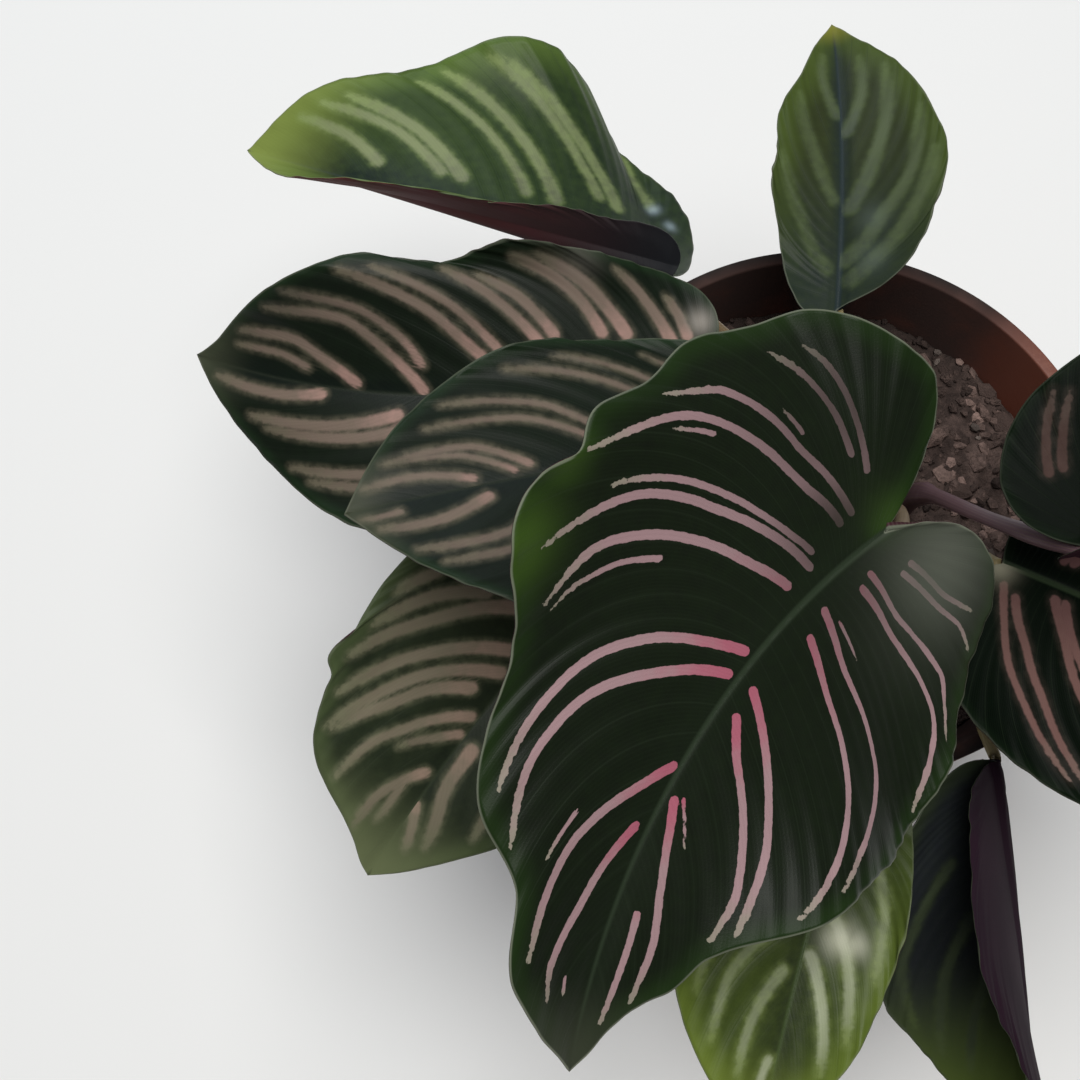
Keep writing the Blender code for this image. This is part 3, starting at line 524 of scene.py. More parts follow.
         length=0.098, half=(0.042, 0.028), lobe=(0.019, 0.014), fold_left=(14, 10), fold_right=(80, 40),
         root=(0.023, 0.003), come=(-25, 24), reach=0.034, rise=0.030, finish="dusky",
         belly=0.35, pulvinus=0.0023, flush=1.0,
         border_left=((0, 1), (0.19, 0.935), (0.30, 0.98), (1, 1)),
         patches=(("dull", -1, 0.30, 0.72, 0.040, 0.68), ("dull", 1, 0.30, 0.50, 0.040, 0.55)),
         left=(
             (1.9, (0.61, 0.242), (0.72, 0.276), (0.83, 0.304), (0.92, 0.318)),
             (1.9, (0.54, 0.282), (0.67, 0.318), (0.84, 0.348)),
             (2.3, (0.12, 0.470), (0.45, 0.530), (0.88, 0.570)),
             (2.3, (0.12, 0.520), (0.45, 0.566), (0.86, 0.606)),
             (2.6, (0.08, 0.730), (0.45, 0.742), (0.88, 0.770)),
             (2.6, (0.08, 0.766), (0.45, 0.780), (0.86, 0.812)),
             (2.3, (0.12, 0.880), (0.45, 0.888), (0.86, 0.910))),
         right=(
             (2.2, (0.14, 0.470), (0.45, 0.520), (0.84, 0.560)),
             (2.2, (0.12, 0.660), (0.45, 0.690), (0.86, 0.720)),
             (2.2, (0.12, 0.700), (0.45, 0.728), (0.84, 0.758)),
             (1.9, (0.12, 0.860), (0.45, 0.872), (0.84, 0.890)))),
)


def direction(heading, pitch):
    """Unit vector of a heading in plan and a pitch above level."""
    h, p = radians(heading), radians(pitch)
    return np.array((cos(p) * cos(h), cos(p) * sin(h), sin(p)))


def unit(v):
    """Vector, or each row of an array, scaled to length 1."""
    return v / np.maximum(np.linalg.norm(v, axis=-1, keepdims=True), 1e-12)


def smooth_step(t):
    """Share that eases in and out as t goes from 0 to 1."""
    t = np.clip(t, 0, 1)
    return t * t * (3 - 2 * t)


def bezier(points, t):
    """Points of a cubic curve at the parameters t."""
    a, b, c, d = (np.asarray(p, float) for p in points)
    t = np.asarray(t)[:, None]
    return (1 - t) ** 3 * a + 3 * t * (1 - t) ** 2 * b + 3 * t * t * (1 - t) * c + t ** 3 * d


def resample(curve, fractions):
    """Points at the given fractions of a polyline's length."""
    run = np.concatenate(([0.0], np.cumsum(np.linalg.norm(np.diff(curve, axis=0), axis=1))))
    run /= run[-1]
    return np.stack([np.interp(fractions, run, curve[:, k]) for k in range(curve.shape[1])], -1)


class Blade:
    """The curved surface of one leaf's blade, as a function of place on the flat leaf."""

    def __init__(self, leaf):
        self.leaf = leaf
        t = np.linspace(0, 1, MIDRIB_STEPS + 1)
        pitch = leaf.pitch[0] + (leaf.pitch[1] - leaf.pitch[0]) * t
        heading = leaf.heading + leaf.bend * (t - 0.5)
        along = np.array([direction(h, p) for h, p in zip(heading, pitch)])
        level = np.array([direction(h - 90, 0) for h in heading])
        upright = np.cross(level, along)
        roll = np.radians(leaf.roll[0] + (leaf.roll[1] - leaf.roll[0]) * t)[:, None]
        steps = (along[1:] + along[:-1]) / 2 * leaf.length / MIDRIB_STEPS
        self.centre = np.vstack(([leaf.base], leaf.base + np.cumsum(steps, axis=0)))
        self.along = along
        self.right = level * np.cos(roll) + upright * np.sin(roll)
        self.normal = upright * np.cos(roll) - level * np.sin(roll)

    def frame(self, y):
        """Midrib point, right and normal at the distance y from the base, which may be negative."""
        t = np.clip(y / self.leaf.length, 0, 1) * MIDRIB_STEPS
        i = np.minimum(t.astype(int), MIDRIB_STEPS - 1)
        f = (t - i)[..., None]

        def between(a):
            return a[i] * (1 - f) + a[i + 1] * f

        centre = between(self.centre) + np.minimum(y, 0)[..., None] * self.along[0]
        return centre, between(self.right), between(self.normal)

    def lift(self, side, y):
        """Angle by which a half stands up from the blade's plane."""
        start, end = self.leaf.fold_right if side > 0 else self.leaf.fold_left
        return np.radians(start + (end - start) * np.clip(y / self.leaf.length, 0, 1))

    def point(self, side, x, y, q, r):
        """Place in space of a flat leaf's point x across and y along, in row q and column r."""
        leaf = self.leaf
        centre, right, normal = self.frame(y)
        fold = self.lift(side, y) * smooth_step(0.25 + x / FOLD_WIDTH)
        angle = fold + radians(leaf.curl) * x / leaf.half[side > 0] / 2
        turn = tau * (leaf.waves * q + leaf.phase + (0.5 if side > 0 else 0.0))
        fade = np.sin(pi * np.clip(q, 0, 1)) ** WAVE_END_FADE * r ** WAVE_INWARD_FADE
        wave = leaf.wave[side > 0] * np.sin(turn) * fade
        across = np.cos(angle)[..., None] * right * side + np.sin(angle)[..., None] * normal
        return centre + x[..., None] * across + wave[..., None] * normal

    def outline(self, side, fractions):
        """Edge of one half on the flat leaf, from the base round the lobe to the tip."""
        leaf = self.leaf
        width = leaf.half[side > 0]
        first_reach, last_reach = (-leaf.lobe[side > 0] * reach for reach in LOBE_REACH)
        belly = leaf.belly * leaf.length
        rest = leaf.length - belly
        t = np.linspace(0, 1, OUTLINE_STEPS)
        round_lobe = bezier(((0, 0), (width * LOBE_TURN, first_reach),
                             (width, last_reach), (width, belly)), t)
        to_tip = bezier(((width, belly), (width, belly + rest * leaf.full),
                         (width * leaf.taper, leaf.length - rest * TIP_HOLLOW), (0, leaf.length)), t)
        return resample(np.vstack((round_lobe, to_tip[1:])), fractions)

    def border(self, side, q):
        """Share of its reach that the edge has in the rows q, eased from each bulge to the next hollow."""
        rows, shares = np.array(self.leaf.border_right if side > 0 else self.leaf.border_left).T
        k = np.clip(np.searchsorted(rows, q, side="right") - 1, 0, len(rows) - 2)
        eased = smooth_step((q - rows[k]) / (rows[k + 1] - rows[k]))
        return shares[k] + (shares[k + 1] - shares[k]) * eased

    def flat_grid(self, side, q, r):
        """Flat places of one half's grid. Rows follow the side veins, which sweep towards the tip."""
        on_midrib = sum(part * q ** power for part, power in VEIN_ROOTS) * self.leaf.length
        start = np.stack((np.zeros_like(q), on_midrib), -1)
        chord = (self.outline(side, q) - start) * self.border(side, q)[:, None]
        edge = start + chord
        bow_size = VEIN_BOW * smooth_step((q - VEIN_BOW_STARTS) / (VEIN_BOW_FULL - VEIN_BOW_STARTS))[:, None]
        outward = np.minimum(chord[:, 1], VEIN_BOW_LIMIT * chord[:, 0])
        bow = start + 0.5 * chord + bow_size * np.stack((outward, -chord[:, 0]), -1)
        r = r[None, :, None]
        return (1 - r) ** 2 * start[:, None] + 2 * r * (1 - r) * bow[:, None] + r ** 2 * edge[:, None]

    def down_at_base(self):
        """Direction straight out of the underside where the stalk joins."""
        start = np.zeros(1)
        total = np.zeros(3)
        for side in (-1, 1):
            angle = float(self.lift(side, start)[0])
            total += cos(angle) * self.normal[0] - sin(angle) * side * self.right[0]
        return -unit(total)


# Fine shape of a blade

FOLD_WIDTH = 0.004
GROOVE_DEPTH = 0.00030
GROOVE_WIDTH = 0.0007
RIB_WIDTH = (0.0016, 0.0005)
EDGE_TAPER = 0.004
SMALLER_FINENESS = 0.66
COLUMN_CROWDING = 1.18
EDGE_SAMPLES = 260

# The swell between the veins dies away over these distances from the edge and the midrib
QUILT_EDGE_FADE = 0.006
QUILT_MIDRIB_FADE = 0.008

# Ruffles: two waves in radians for each mm of edge, the share of the second and its shift for each metre
# of blade, and how both die away inward and towards base and tip
RUFFLE_TURNS = (0.61, 1.13)
SECOND_RUFFLE = 0.6
RUFFLE_SHIFT = 900
RUFFLE_INWARD_FADE = 5
RUFFLE_END_FADE = 0.5

# Stripes: how far their fields reach, the shares of a stripe's length and of its width there, its fineness,
# and how much a stripe that begins far out starts as if part of it had gone by
STRIPE_REACH = 0.004
STRIPE_PROFILE = ((0.0, 0.06, 0.20, 0.86, 1.0), (1.12, 1.10, 1.0, 0.86, 0.45))
STRIPE_STEPS = 72
STRIPE_SMOOTHING = 11
LATE_START = 0.55
LATE_START_FROM = 0.12
LATE_START_OVER = 0.40
HAZE_WIDTH_MM = 1.8

# Kinds of patch: light comes through, a painted sheen on the skin, and painted shade that weakens the stripes
PATCH_KINDS = ("clear", "bloom", "dull")


def stripe_line(blade, side, knots):
    """Middle line of a stripe on the flat leaf, eased through its knots."""
    out, row = np.array(knots).T
    r = np.linspace(out[0], out[-1], STRIPE_STEPS)
    reach = STRIPE_SMOOTHING // 2
    padded = np.pad(np.interp(r, out, row), reach, mode="reflect", reflect_type="odd")
    q = np.convolve(padded, np.ones(STRIPE_SMOOTHING) / STRIPE_SMOOTHING, "valid")
    return np.array([blade.flat_grid(side, q[k:k + 1], r[k:k + 1])[0, 0] for k in range(STRIPE_STEPS)])


def near_line(places, line):
    """Distance from each place to a line of points, and how far along it the nearest point lies, 0 to 1."""
    step = np.diff(line, axis=0)
    square = np.sum(step ** 2, axis=1)
    offset = places[:, None] - line[None, :-1]
    share = np.clip(np.sum(offset * step, axis=-1) / square, 0, 1)
    gap = np.linalg.norm(offset - share[..., None] * step, axis=-1)
    nearest = np.argmin(gap, axis=1)
    each = np.arange(len(places))
    lengths = np.sqrt(square)
    run = np.concatenate(([0.0], np.cumsum(lengths)))
    return gap[each, nearest], (run[nearest] + share[each, nearest] * lengths[nearest]) / run[-1]


def stripe_fields(blade, side, flat):
    """How deep each point lies inside the nearest stripe, in metres, and how far along that stripe."""
    places = flat.reshape(-1, 2)
    depth = np.full(len(places), -STRIPE_REACH)
    run = np.zeros(len(places))
    for width, *knots in blade.leaf.right if side > 0 else blade.leaf.left:
        line = stripe_line(blade, side, knots)
        low, high = line.min(axis=0) - STRIPE_REACH, line.max(axis=0) + STRIPE_REACH
        close = np.flatnonzero(np.all((places > low) & (places < high), axis=1))
        gap, share = near_line(places[close], line)
        inside = width * MM / 2 * np.interp(share, *STRIPE_PROFILE) - gap
        deeper = inside > depth[close]
        depth[close[deeper]] = inside[deeper]
        start = LATE_START * smooth_step((knots[0][0] - LATE_START_FROM) / LATE_START_OVER)
        run[close[deeper]] = start + (1 - start) * share[deeper]
    return depth.reshape(flat.shape[:2]), run.reshape(flat.shape[:2])


def patch_field(blade, side, flat, wanted):
    """Strength of the soft round patches of one kind."""
    field = np.zeros(flat.shape[:2])
    for kind, where, row, out, radius, strength in blade.leaf.patches:
        if kind == wanted and where == side:
            place = blade.flat_grid(side, np.array([row]), np.array([out]))[0, 0]
            gap = np.linalg.norm(flat - place, axis=-1) / radius
            field = np.maximum(field, strength * np.exp(-gap * gap))
    return field


def half_blade(blade, side, q_rows, r_columns, settings):
    """Points, sway, relief, thickness and markings of one half, each as a grid."""
    leaf = blade.leaf
    flat = blade.flat_grid(side, q_rows, r_columns)
    q, r = np.meshgrid(q_rows, r_columns, indexing="ij")
    points = blade.point(side, flat[..., 0], flat[..., 1], q, r)

    border = blade.flat_grid(side, np.linspace(0, 1, EDGE_SAMPLES), np.ones(1))[:, 0]
    edge = near_line(flat.reshape(-1, 2), border)[0].reshape(q.shape)
    edge_length = np.sum(np.linalg.norm(np.diff(border, axis=0), axis=1))
    vein = q * edge_length
    spread = np.linalg.norm(np.gradient(flat, q_rows, axis=0), axis=-1) / edge_length
    depth, run = stripe_fields(blade, side, flat)

    along = np.clip(flat[..., 1] / leaf.length, 0, 1)
    inland = smooth_step(edge / QUILT_EDGE_FADE) * smooth_step(flat[..., 0] / QUILT_MIDRIB_FADE)
    swell = settings.quilting * np.sin(tau * vein / settings.quilt_spacing) * inland * np.minimum(spread, 1)
    first, second = (vein * 1000 * turn for turn in RUFFLE_TURNS)
    uneven = np.sin(first + leaf.heading) + SECOND_RUFFLE * np.sin(second + leaf.length * RUFFLE_SHIFT)
    sway = settings.ruffle * uneven * r ** RUFFLE_INWARD_FADE * np.sin(pi * q) ** RUFFLE_END_FADE
    groove = -GROOVE_DEPTH * np.exp(-(flat[..., 0] / GROOVE_WIDTH) ** 2) * (1 - along)
    rib_width = RIB_WIDTH[0] + (RIB_WIDTH[1] - RIB_WIDTH[0]) * along
    rib = (RIB_AT_BASE + (RIB_AT_TIP - RIB_AT_BASE) * along) * np.exp(-(flat[..., 0] / rib_width) ** 2)
    thicker = (settings.thickness - settings.edge_thickness) * smooth_step(edge / EDGE_TAPER)
    body = settings.edge_thickness + thicker
    marks = {
        "stripe_mm": depth / MM,
        "stripe_run": run,
        "vein_mm": vein / MM * side,
        "edge_mm": edge / MM,
        "midrib_mm": flat[..., 0] / MM,
        "along": along,
    } | {kind: patch_field(blade, side, flat, kind) for kind in PATCH_KINDS}
    return points, sway, swell + groove, body + rib, marks


def blade_mesh(leaf, settings):
    """Closed shell of one blade, with its markings stored as point attributes."""
    blade = Blade(leaf)
    largest = max(LEAVES, key=lambda other: sum(other.half))
    fineness = 1.0 if leaf is largest else SMALLER_FINENESS
    rows, columns = int(settings.rows * fineness), int(settings.columns * fineness)
    q_rows = np.linspace(0.0, 1.0, rows + 1)
    r_columns = np.linspace(0, 1, columns + 1) ** COLUMN_CROWDING
    left, right = (half_blade(blade, side, q_rows, r_columns, settings) for side in (-1, 1))

    def join(a, b):
        return np.concatenate((a[:, :0:-1], b), axis=1)

    points, sway, relief, depth = (join(a, b) for a, b in zip(left[:-1], right[:-1]))
    marks = {name: join(values, right[-1][name]) for name, values in left[-1].items()}

    normals = unit(np.cross(np.gradient(points, axis=1), np.gradient(points, axis=0)))
    if normals[rows // 2, columns] @ blade.normal[MIDRIB_STEPS // 2] < 0:
        normals = -normals
    normals[0] = -blade.down_at_base()
    normals[-1] = unit(normals[-2, columns])
    upper = points + normals * (sway + relief)[..., None]
    lower = points + normals * (sway - depth)[..., None]

    width = 2 * columns + 1
    count = (rows - 1) * width + 2
    index = np.zeros((rows + 1, width), int)
    index[1:-1] = 1 + np.arange((rows - 1) * width).reshape(rows - 1, width)
    index[-1] = count - 1
    keep = np.zeros(count, int)
    flat_index = index.ravel()
    keep[flat_index] = np.arange(flat_index.size)

    quads = np.stack((index[:-1, :-1], index[:-1, 1:], index[1:, 1:], index[1:, :-1]), -1).reshape(-1, 4)
    under = quads[:, ::-1] + count
    sides = []
    for column, order in ((0, 1), (width - 1, -1)):
        line = index[:, column]
        strip = np.stack((line[:-1], line[1:], line[1:] + count, line[:-1] + count), -1)
        sides.append(strip[:, ::order])
    corners = (list(dict.fromkeys(quad)) for quad in np.vstack((quads, under, *sides)).tolist())
    faces = [face for face in corners if len(face) > 2]

    mesh = bpy.data.meshes.new("blade_" + leaf.name)
    vertices = np.vstack((upper.reshape(-1, 3)[keep], lower.reshape(-1, 3)[keep]))
    mesh.from_pydata(vertices.tolist(), [], faces)
    store(mesh, under=np.repeat((0.0, 1.0), count),
          **{name: np.tile(values.ravel()[keep], 2) for name, values in marks.items()})
    return finish_mesh(mesh)


def store(mesh, **numbers):
    """Keep numbers for each point of a mesh under names that materials can read."""
    for name, values in numbers.items():
        attribute = mesh.attributes.new(name, "FLOAT", "POINT")
        attribute.data.foreach_set("value", np.asarray(values, np.float32))


def finish_mesh(mesh, bm=None):
    """Turn every face of a mesh, or of the bmesh that becomes it, outward and shade it smooth."""
    if bm is None:
        bm = bmesh.new()
        bm.from_mesh(mesh)
    bmesh.ops.recalc_face_normals(bm, faces=bm.faces)
    bm.to_mesh(mesh)
    bm.free()
    mesh.shade_smooth()
    return mesh


# Node helpers

class Signal:
    """A number or colour that comes out of a node. A sum with it adds the node that works it out."""

    def __init__(self, socket):
        self.socket = socket
        self.tree = socket.id_data

    def __add__(self, other):
        return reckon("ADD", self, other)

    def __sub__(self, other):
        return reckon("SUBTRACT", self, other)

    def __rsub__(self, other):
        return reckon("SUBTRACT", other, self)

    def __mul__(self, other):
        return reckon("MULTIPLY", self, other)

    def __truediv__(self, other):
        return reckon("DIVIDE", self, other)

    def __rtruediv__(self, other):
        return reckon("DIVIDE", other, self)


class Outputs:
    """The outputs of a node as signals, by name or number."""

    def __init__(self, node):
        self.node = node

    def __getitem__(self, key):
        return Signal(self.node.outputs[key])


def feed(socket, value):
    """Link a signal to a socket, or set the socket's plain value."""
    if isinstance(value, Signal):
        value.tree.links.new(value.socket, socket)
    elif hasattr(socket.default_value, "__len__") and len(socket.default_value) == 4:
        socket.default_value = (*value[:3], 1.0)
    else:
        socket.default_value = value


def put(tree, kind, inputs=None, **settings):
    """Add a node, set its properties and feed the inputs named or numbered in a dictionary."""
    node = tree.nodes.new(kind)
    place = len(tree.nodes)
    node.location = (260 * (place // 5), -190 * (place % 5))
    for name, value in settings.items():
        setattr(node, name, value)
    for key, value in (inputs or {}).items():
        feed(node.inputs[key], value)
    return Outputs(node)


def tree_of(*values):
    """Node tree of the first signal among some values."""
    return next(value.tree for value in values if isinstance(value, Signal))


def reckon(operation, first, second=0.0, clamp=False):
    """Result of one sum on numbers."""
    return put(tree_of(first, second), "ShaderNodeMath", {0: first, 1: second}, operation=operation,
               use_clamp=clamp)[0]


def ramp(value, low, high, start=0.0, end=1.0):
    """Smooth passage from start to end as the value goes from low to high."""
    return put(value.tree, "ShaderNodeMapRange", {0: value, 1: low, 2: high, 3: start, 4: end},
               interpolation_type="SMOOTHSTEP")[0]


def blend(share, first, second):
    """Mix of two colours."""
    return put(tree_of(share, first, second), "ShaderNodeMix", {0: share, 6: first, 7: second},
               data_type="RGBA")[2]


def layers(colour, *coats):
    """Colour under thin coats that are laid over it one by one, each as its strength and its colour."""
    for strength, coat in coats:
        colour = blend(strength, colour, coat)
    return colour


def reading(tree, name):
    """A number stored on the mesh."""
    return put(tree, "ShaderNodeAttribute", attribute_name=name)["Fac"]


def texture(tree, kind, grain_mm, **inputs):
    """Outputs of a texture in the object's own space, with a grain of a size in mm."""
    place = put(tree, "ShaderNodeTexCoord")["Object"]
    return put(tree, kind, {"Vector": place, "Scale": 1000.0 / grain_mm, **inputs})


def new_group(name, inputs, *outputs):
    """Empty node group with float inputs, given with their defaults, and float outputs."""
    group = bpy.data.node_groups.new(name, "ShaderNodeTree")
    for label, default in inputs.items():
        socket = group.interface.new_socket(label, in_out="INPUT", socket_type="NodeSocketFloat")
        socket.default_value = default
    for label in outputs:
        group.interface.new_socket(label, in_out="OUTPUT", socket_type="NodeSocketFloat")
    return group, Outputs(group.nodes.new("NodeGroupInput")), group.nodes.new("NodeGroupOutput").inputs


def cloud_group(name):
    """Soft uneven variation in the object's own space."""
    group, start, end = new_group(name, {"Size mm": 10.0, "Contrast": 1.0}, "Value")
    cloud = texture(group, "ShaderNodeTexNoise", start["Size mm"], Detail=3.0, Roughness=0.55)["Fac"]
    feed(end["Value"], reckon("ADD", (cloud - 0.5) * start["Contrast"], 0.5, clamp=True))
    return group


def speck_group(name):
    """Small scattered specks."""
    group, start, end = new_group(name, {"Spacing mm": 4.0, "Size": 0.08, "Amount": 0.5}, "Mask")
    cells = texture(group, "ShaderNodeTexVoronoi", start["Spacing mm"])
    chance = put(group, "ShaderNodeSeparateColor", {0: cells["Color"]})[0]
    near = reckon("LESS_THAN", cells["Distance"], start["Size"] * chance)
    feed(end["Mask"], near * reckon("LESS_THAN", chance, start["Amount"]))
    return group


def ragged_group(name):
    """Mask with an uneven torn edge from a signed distance in mm."""
    group, start, end = new_group(name, {"Distance mm": 0.0, "Raggedness mm": 0.3, "Softness mm": 0.2,
                                         "Grain mm": 1.5}, "Mask")
    cloud = texture(group, "ShaderNodeTexNoise", start["Grain mm"], Detail=2.5, Roughness=0.6)["Fac"]
    stray = (cloud - 0.5) * 3.0 * start["Raggedness mm"]
    soft = start["Softness mm"]
    feed(end["Mask"], ramp(start["Distance mm"] + stray, soft * -0.5, soft * 0.5))
    return group


def vein_group(name):
    """Fine and strong side veins from a coordinate in mm that runs across them."""
    group, start, end = new_group(name, {"Across mm": 0.0, "Spacing mm": 1.0, "Strong mm": 6.2},
                                  "Fine", "Strong", "Height")

    def line(spacing, sharpness):
        wave = reckon("COSINE", start["Across mm"] / spacing * tau)
        return reckon("POWER", reckon("ADD", wave * 0.5, 0.5, clamp=True), sharpness)

    fine, strong = line(start["Spacing mm"], 2.0), line(start["Strong mm"], 90.0)
    for label, value in (("Fine", fine), ("Strong", strong), ("Height", fine * 0.35 + strong * -0.9)):
        feed(end[label], value)
    return group


EFFECTS = {"Cloudy Variation": cloud_group, "Scattered Specks": speck_group, "Ragged Edge": ragged_group,
           "Side Veins": vein_group}


def effect(tree, label, **inputs):
    """Place a shared effect in a material and return its outputs."""
    group = bpy.data.node_groups.get(label) or EFFECTS[label](label)
    return put(tree, "ShaderNodeGroup", {name.replace("_", " "): value for name, value in inputs.items()},
               node_tree=group)


def clouds(tree, size_mm, contrast):
    """Cloudy variation from 0 to 1, with clouds of a size in mm."""
    return effect(tree, "Cloudy Variation", Size_mm=size_mm, Contrast=contrast)["Value"]


def new_material(name, specular=0.5):
    """Material with only a Principled shader, its node tree and the shader's inputs."""
    made = bpy.data.materials.new(name)
    made.use_nodes = True
    inputs = made.node_tree.nodes["Principled BSDF"].inputs
    inputs["Specular IOR Level"].default_value = specular
    return made, made.node_tree, inputs


def dress(inputs, colour, roughness, relief, relief_mm):
    """Give a shader its colour, its roughness and a relief of this height in mm."""
    feed(inputs["Base Color"], colour)
    feed(inputs["Roughness"], roughness)
    bump = put(relief.tree, "ShaderNodeBump", {"Height": relief, "Strength": 1.0, "Distance": relief_mm * MM})
    feed(inputs["Normal"], bump["Normal"])


# Materials

# Leaf skin, in mm: its clouds, patches and grain, its fine veins, and its relief
SKIN_CLOUD = 14.0
SKIN_PATCH = 2.6
SKIN_GRAIN = 0.35
FINE_VEINS = 0.9
SKIN_RELIEF = 0.016

# Strengths of the veins on the green, on a stripe and on the underside, and of patches, clouds and specks
FINE_ON_GREEN = 0.06
STRONG_ON_GREEN = 0.16
FINE_ON_STRIPE = 0.05
FINE_BELOW = 0.10
PATCH_ON_GREEN = 0.22
CLOUD_BELOW = 0.35
SPECKS = 0.6

# Shares of a stripe's length over which its colour turns, its edge grows ragged and it fades
INNER_TO_MIDDLE = (0.08, 0.46)
MIDDLE_TO_OUTER = (0.80, 1.12)
GROWS_RAGGED = (0.80, 1.06)
FADES = (0.35, 1.1)

# Shares of the blade's length over which the stripes turn greyer, and by how much
GREYER = (0.68, 0.92, 0.0, 0.24)
# How much greyer the stripes turn under the patches of painted shade
GREYER_IN_PAINTED_SHADE = 0.5

# The midrib's line, in mm from the midrib: from none of it to all, and how much slimmer it gets to the tip
MIDRIB_LINE = (1.15, 0.35)
MIDRIB_SLIMMER = 0.55

# The thin line along the edge, in mm from the edge
EDGE_LINE = (0.45, 0.12)


def blade_material(name, palette, settings):
    """Leaf skin: green with pinstripes above, purple below."""
    made, tree, shader = new_material("leaf_skin_" + name, palette.specular)
    edge, along, midrib, inside, dull = (
        reading(tree, mark) for mark in ("edge_mm", "along", "midrib_mm", "stripe_mm", "dull"))
    cloud, patch = clouds(tree, SKIN_CLOUD, 1.5), clouds(tree, SKIN_PATCH, 1.4)
    veins = effect(tree, "Side Veins", Across_mm=reading(tree, "vein_mm"), Spacing_mm=FINE_VEINS,
                   Strong_mm=settings.quilt_spacing / MM)

    # The green skin from the midrib outward, then its veins, the midrib's own line and the tip
    at_base = ramp(along, palette.keel_length, 0.0, 0.0, 0.95) if palette.keel_length else 0.0
    keel = reckon("MAXIMUM", ramp(midrib, palette.keel_width, 0.0), at_base)
    border = ramp(edge, palette.margin, 0.0) * ramp(cloud, 0.0, 0.6, 0.4, 1.0) * (1.0 - at_base)
    skin = layers(
        palette.dark,
        (keel, palette.keel),
        (border, palette.green),
        (patch * PATCH_ON_GREEN, palette.green),
        (reading(tree, "clear"), palette.clear),
        (veins["Fine"] * FINE_ON_GREEN, palette.midrib),
        (veins["Strong"] * STRONG_ON_GREEN, palette.midrib),
        (ramp(midrib + along * MIDRIB_SLIMMER, *MIDRIB_LINE), palette.midrib),
        (ramp(along, palette.tip_start, 1.0), palette.tip))

    # The stripes: a haze beside them, their torn ends, and their colour from the midrib to the edge
    haze = ramp(inside, -HAZE_WIDTH_MM, 0.3, 0.0, palette.halo) * ramp(patch, 0.25, 0.75, 0.35, 1.0)
    run = reading(tree, "stripe_run") + patch * 0.16
    # Stripes turn greyer towards their ends, towards the tip and under the patches of painted shade
    greyed = run + dull * GREYER_IN_PAINTED_SHADE + ramp(along, *GREYER)
    torn = ramp(run, *GROWS_RAGGED, palette.raggedness, palette.raggedness * 3)
    stripe = effect(tree, "Ragged Edge", Distance_mm=inside, Raggedness_mm=torn,
                    Softness_mm=palette.softness)["Mask"]
    # Painted shade: the stripes are dimmed towards the dark skin where the patches of shade lie
    stripe = stripe * ramp(run, *FADES, 1.0, 1.0 - palette.fade) * (1.0 - dull) * (1.0 - at_base * 0.7)
    stripe_paint = layers(
        palette.inner,
        (ramp(greyed, *INNER_TO_MIDDLE), palette.middle),
        (ramp(run, *MIDDLE_TO_OUTER), palette.outer),
        (patch * (palette.halo * 0.5), palette.outer),
        (veins["Fine"] * FINE_ON_STRIPE, palette.dark))
    specks = effect(tree, "Scattered Specks", Spacing_mm=6.5, Size=0.05, Amount=0.30)["Mask"]
    above = layers(
        skin,
        (haze, palette.outer),
        (stripe, stripe_paint),
        # Painted sheen: pale highlights laid into the skin's colour where the leaf catches the light
        (reading(tree, "bloom"), palette.bloom),
        (specks * SPECKS, palette.outer),
        (ramp(edge, *EDGE_LINE) * palette.rim, settings.edge))

    purple = layers(
        palette.below,
        (cloud * CLOUD_BELOW, palette.dark),
        (veins["Fine"] * FINE_BELOW, palette.outer),
        (at_base, palette.keel))
    below = ramp(reading(tree, "under"), 0.35, 0.65)
    roughness = cloud * 0.10 + (palette.roughness - 0.05) + stripe * 0.08 + below * 0.22
    relief = veins["Height"] + clouds(tree, SKIN_GRAIN, 1.5)
    dress(shader, blend(below, above, purple), roughness, relief, SKIN_RELIEF)
    return made


def stalk_material(settings):
    """Olive skin flushed purple, paler at the swelling below the blade of a green stalk."""
    made, tree, shader = new_material("stalk_skin_fine")
    up, flush = reading(tree, "along"), reading(tree, "flush")
    cloud = clouds(tree, 9.0, 1.6)
    streak = effect(tree, "Side Veins", Across_mm=reading(tree, "around_mm"), Spacing_mm=0.7, Strong_mm=2.8)
    low = reckon("MULTIPLY", ramp(up, 0.75, 0.35), cloud, clamp=True)
    skin = layers(
        settings.olive,
        (reckon("MAXIMUM", low, flush), settings.purple),
        (ramp(up, 0.14, 0.0), settings.purple),
        (ramp(up, 0.80, 0.90) * (1.0 - flush), settings.pulvinus),
        (streak["Fine"] * 0.18, settings.pulvinus))
    dress(shader, skin, ramp(cloud, 0.0, 1.0, 0.34, 0.5), streak["Height"], 0.06)
    return made


def pot_material(settings):
    """Thin moulded plastic, scuffed outside and stained by soil inside. Painted shade darkens the inside and
    the top edge away from the lit side, and the rim's wear shows only on the lit side as painted light.
    """
    made, tree, shader = new_material("moulded_plastic")
    cloud, fine = clouds(tree, 22.0, 1.5), clouds(tree, 0.9, 1.4)
    specks = effect(tree, "Scattered Specks", Spacing_mm=5.0, Size=0.16, Amount=0.5)["Mask"]
    stained_and_shaded = reading(tree, "stain") * ramp(cloud, 0.0, 0.6, 0.55, 1.0)
    plastic = layers(
        settings.plastic,
        (cloud * 0.35, settings.worn),
        (ramp(reading(tree, "worn"), 0.35, 1.0) * ramp(fine, 0.35, 0.75), settings.worn),
        (stained_and_shaded, settings.stain),
        (specks * 0.55, settings.stain))
    dress(shader, plastic, ramp(cloud, 0.0, 1.0, 0.42, 0.62) + stained_and_shaded * 0.40, fine, 0.04)
    return made


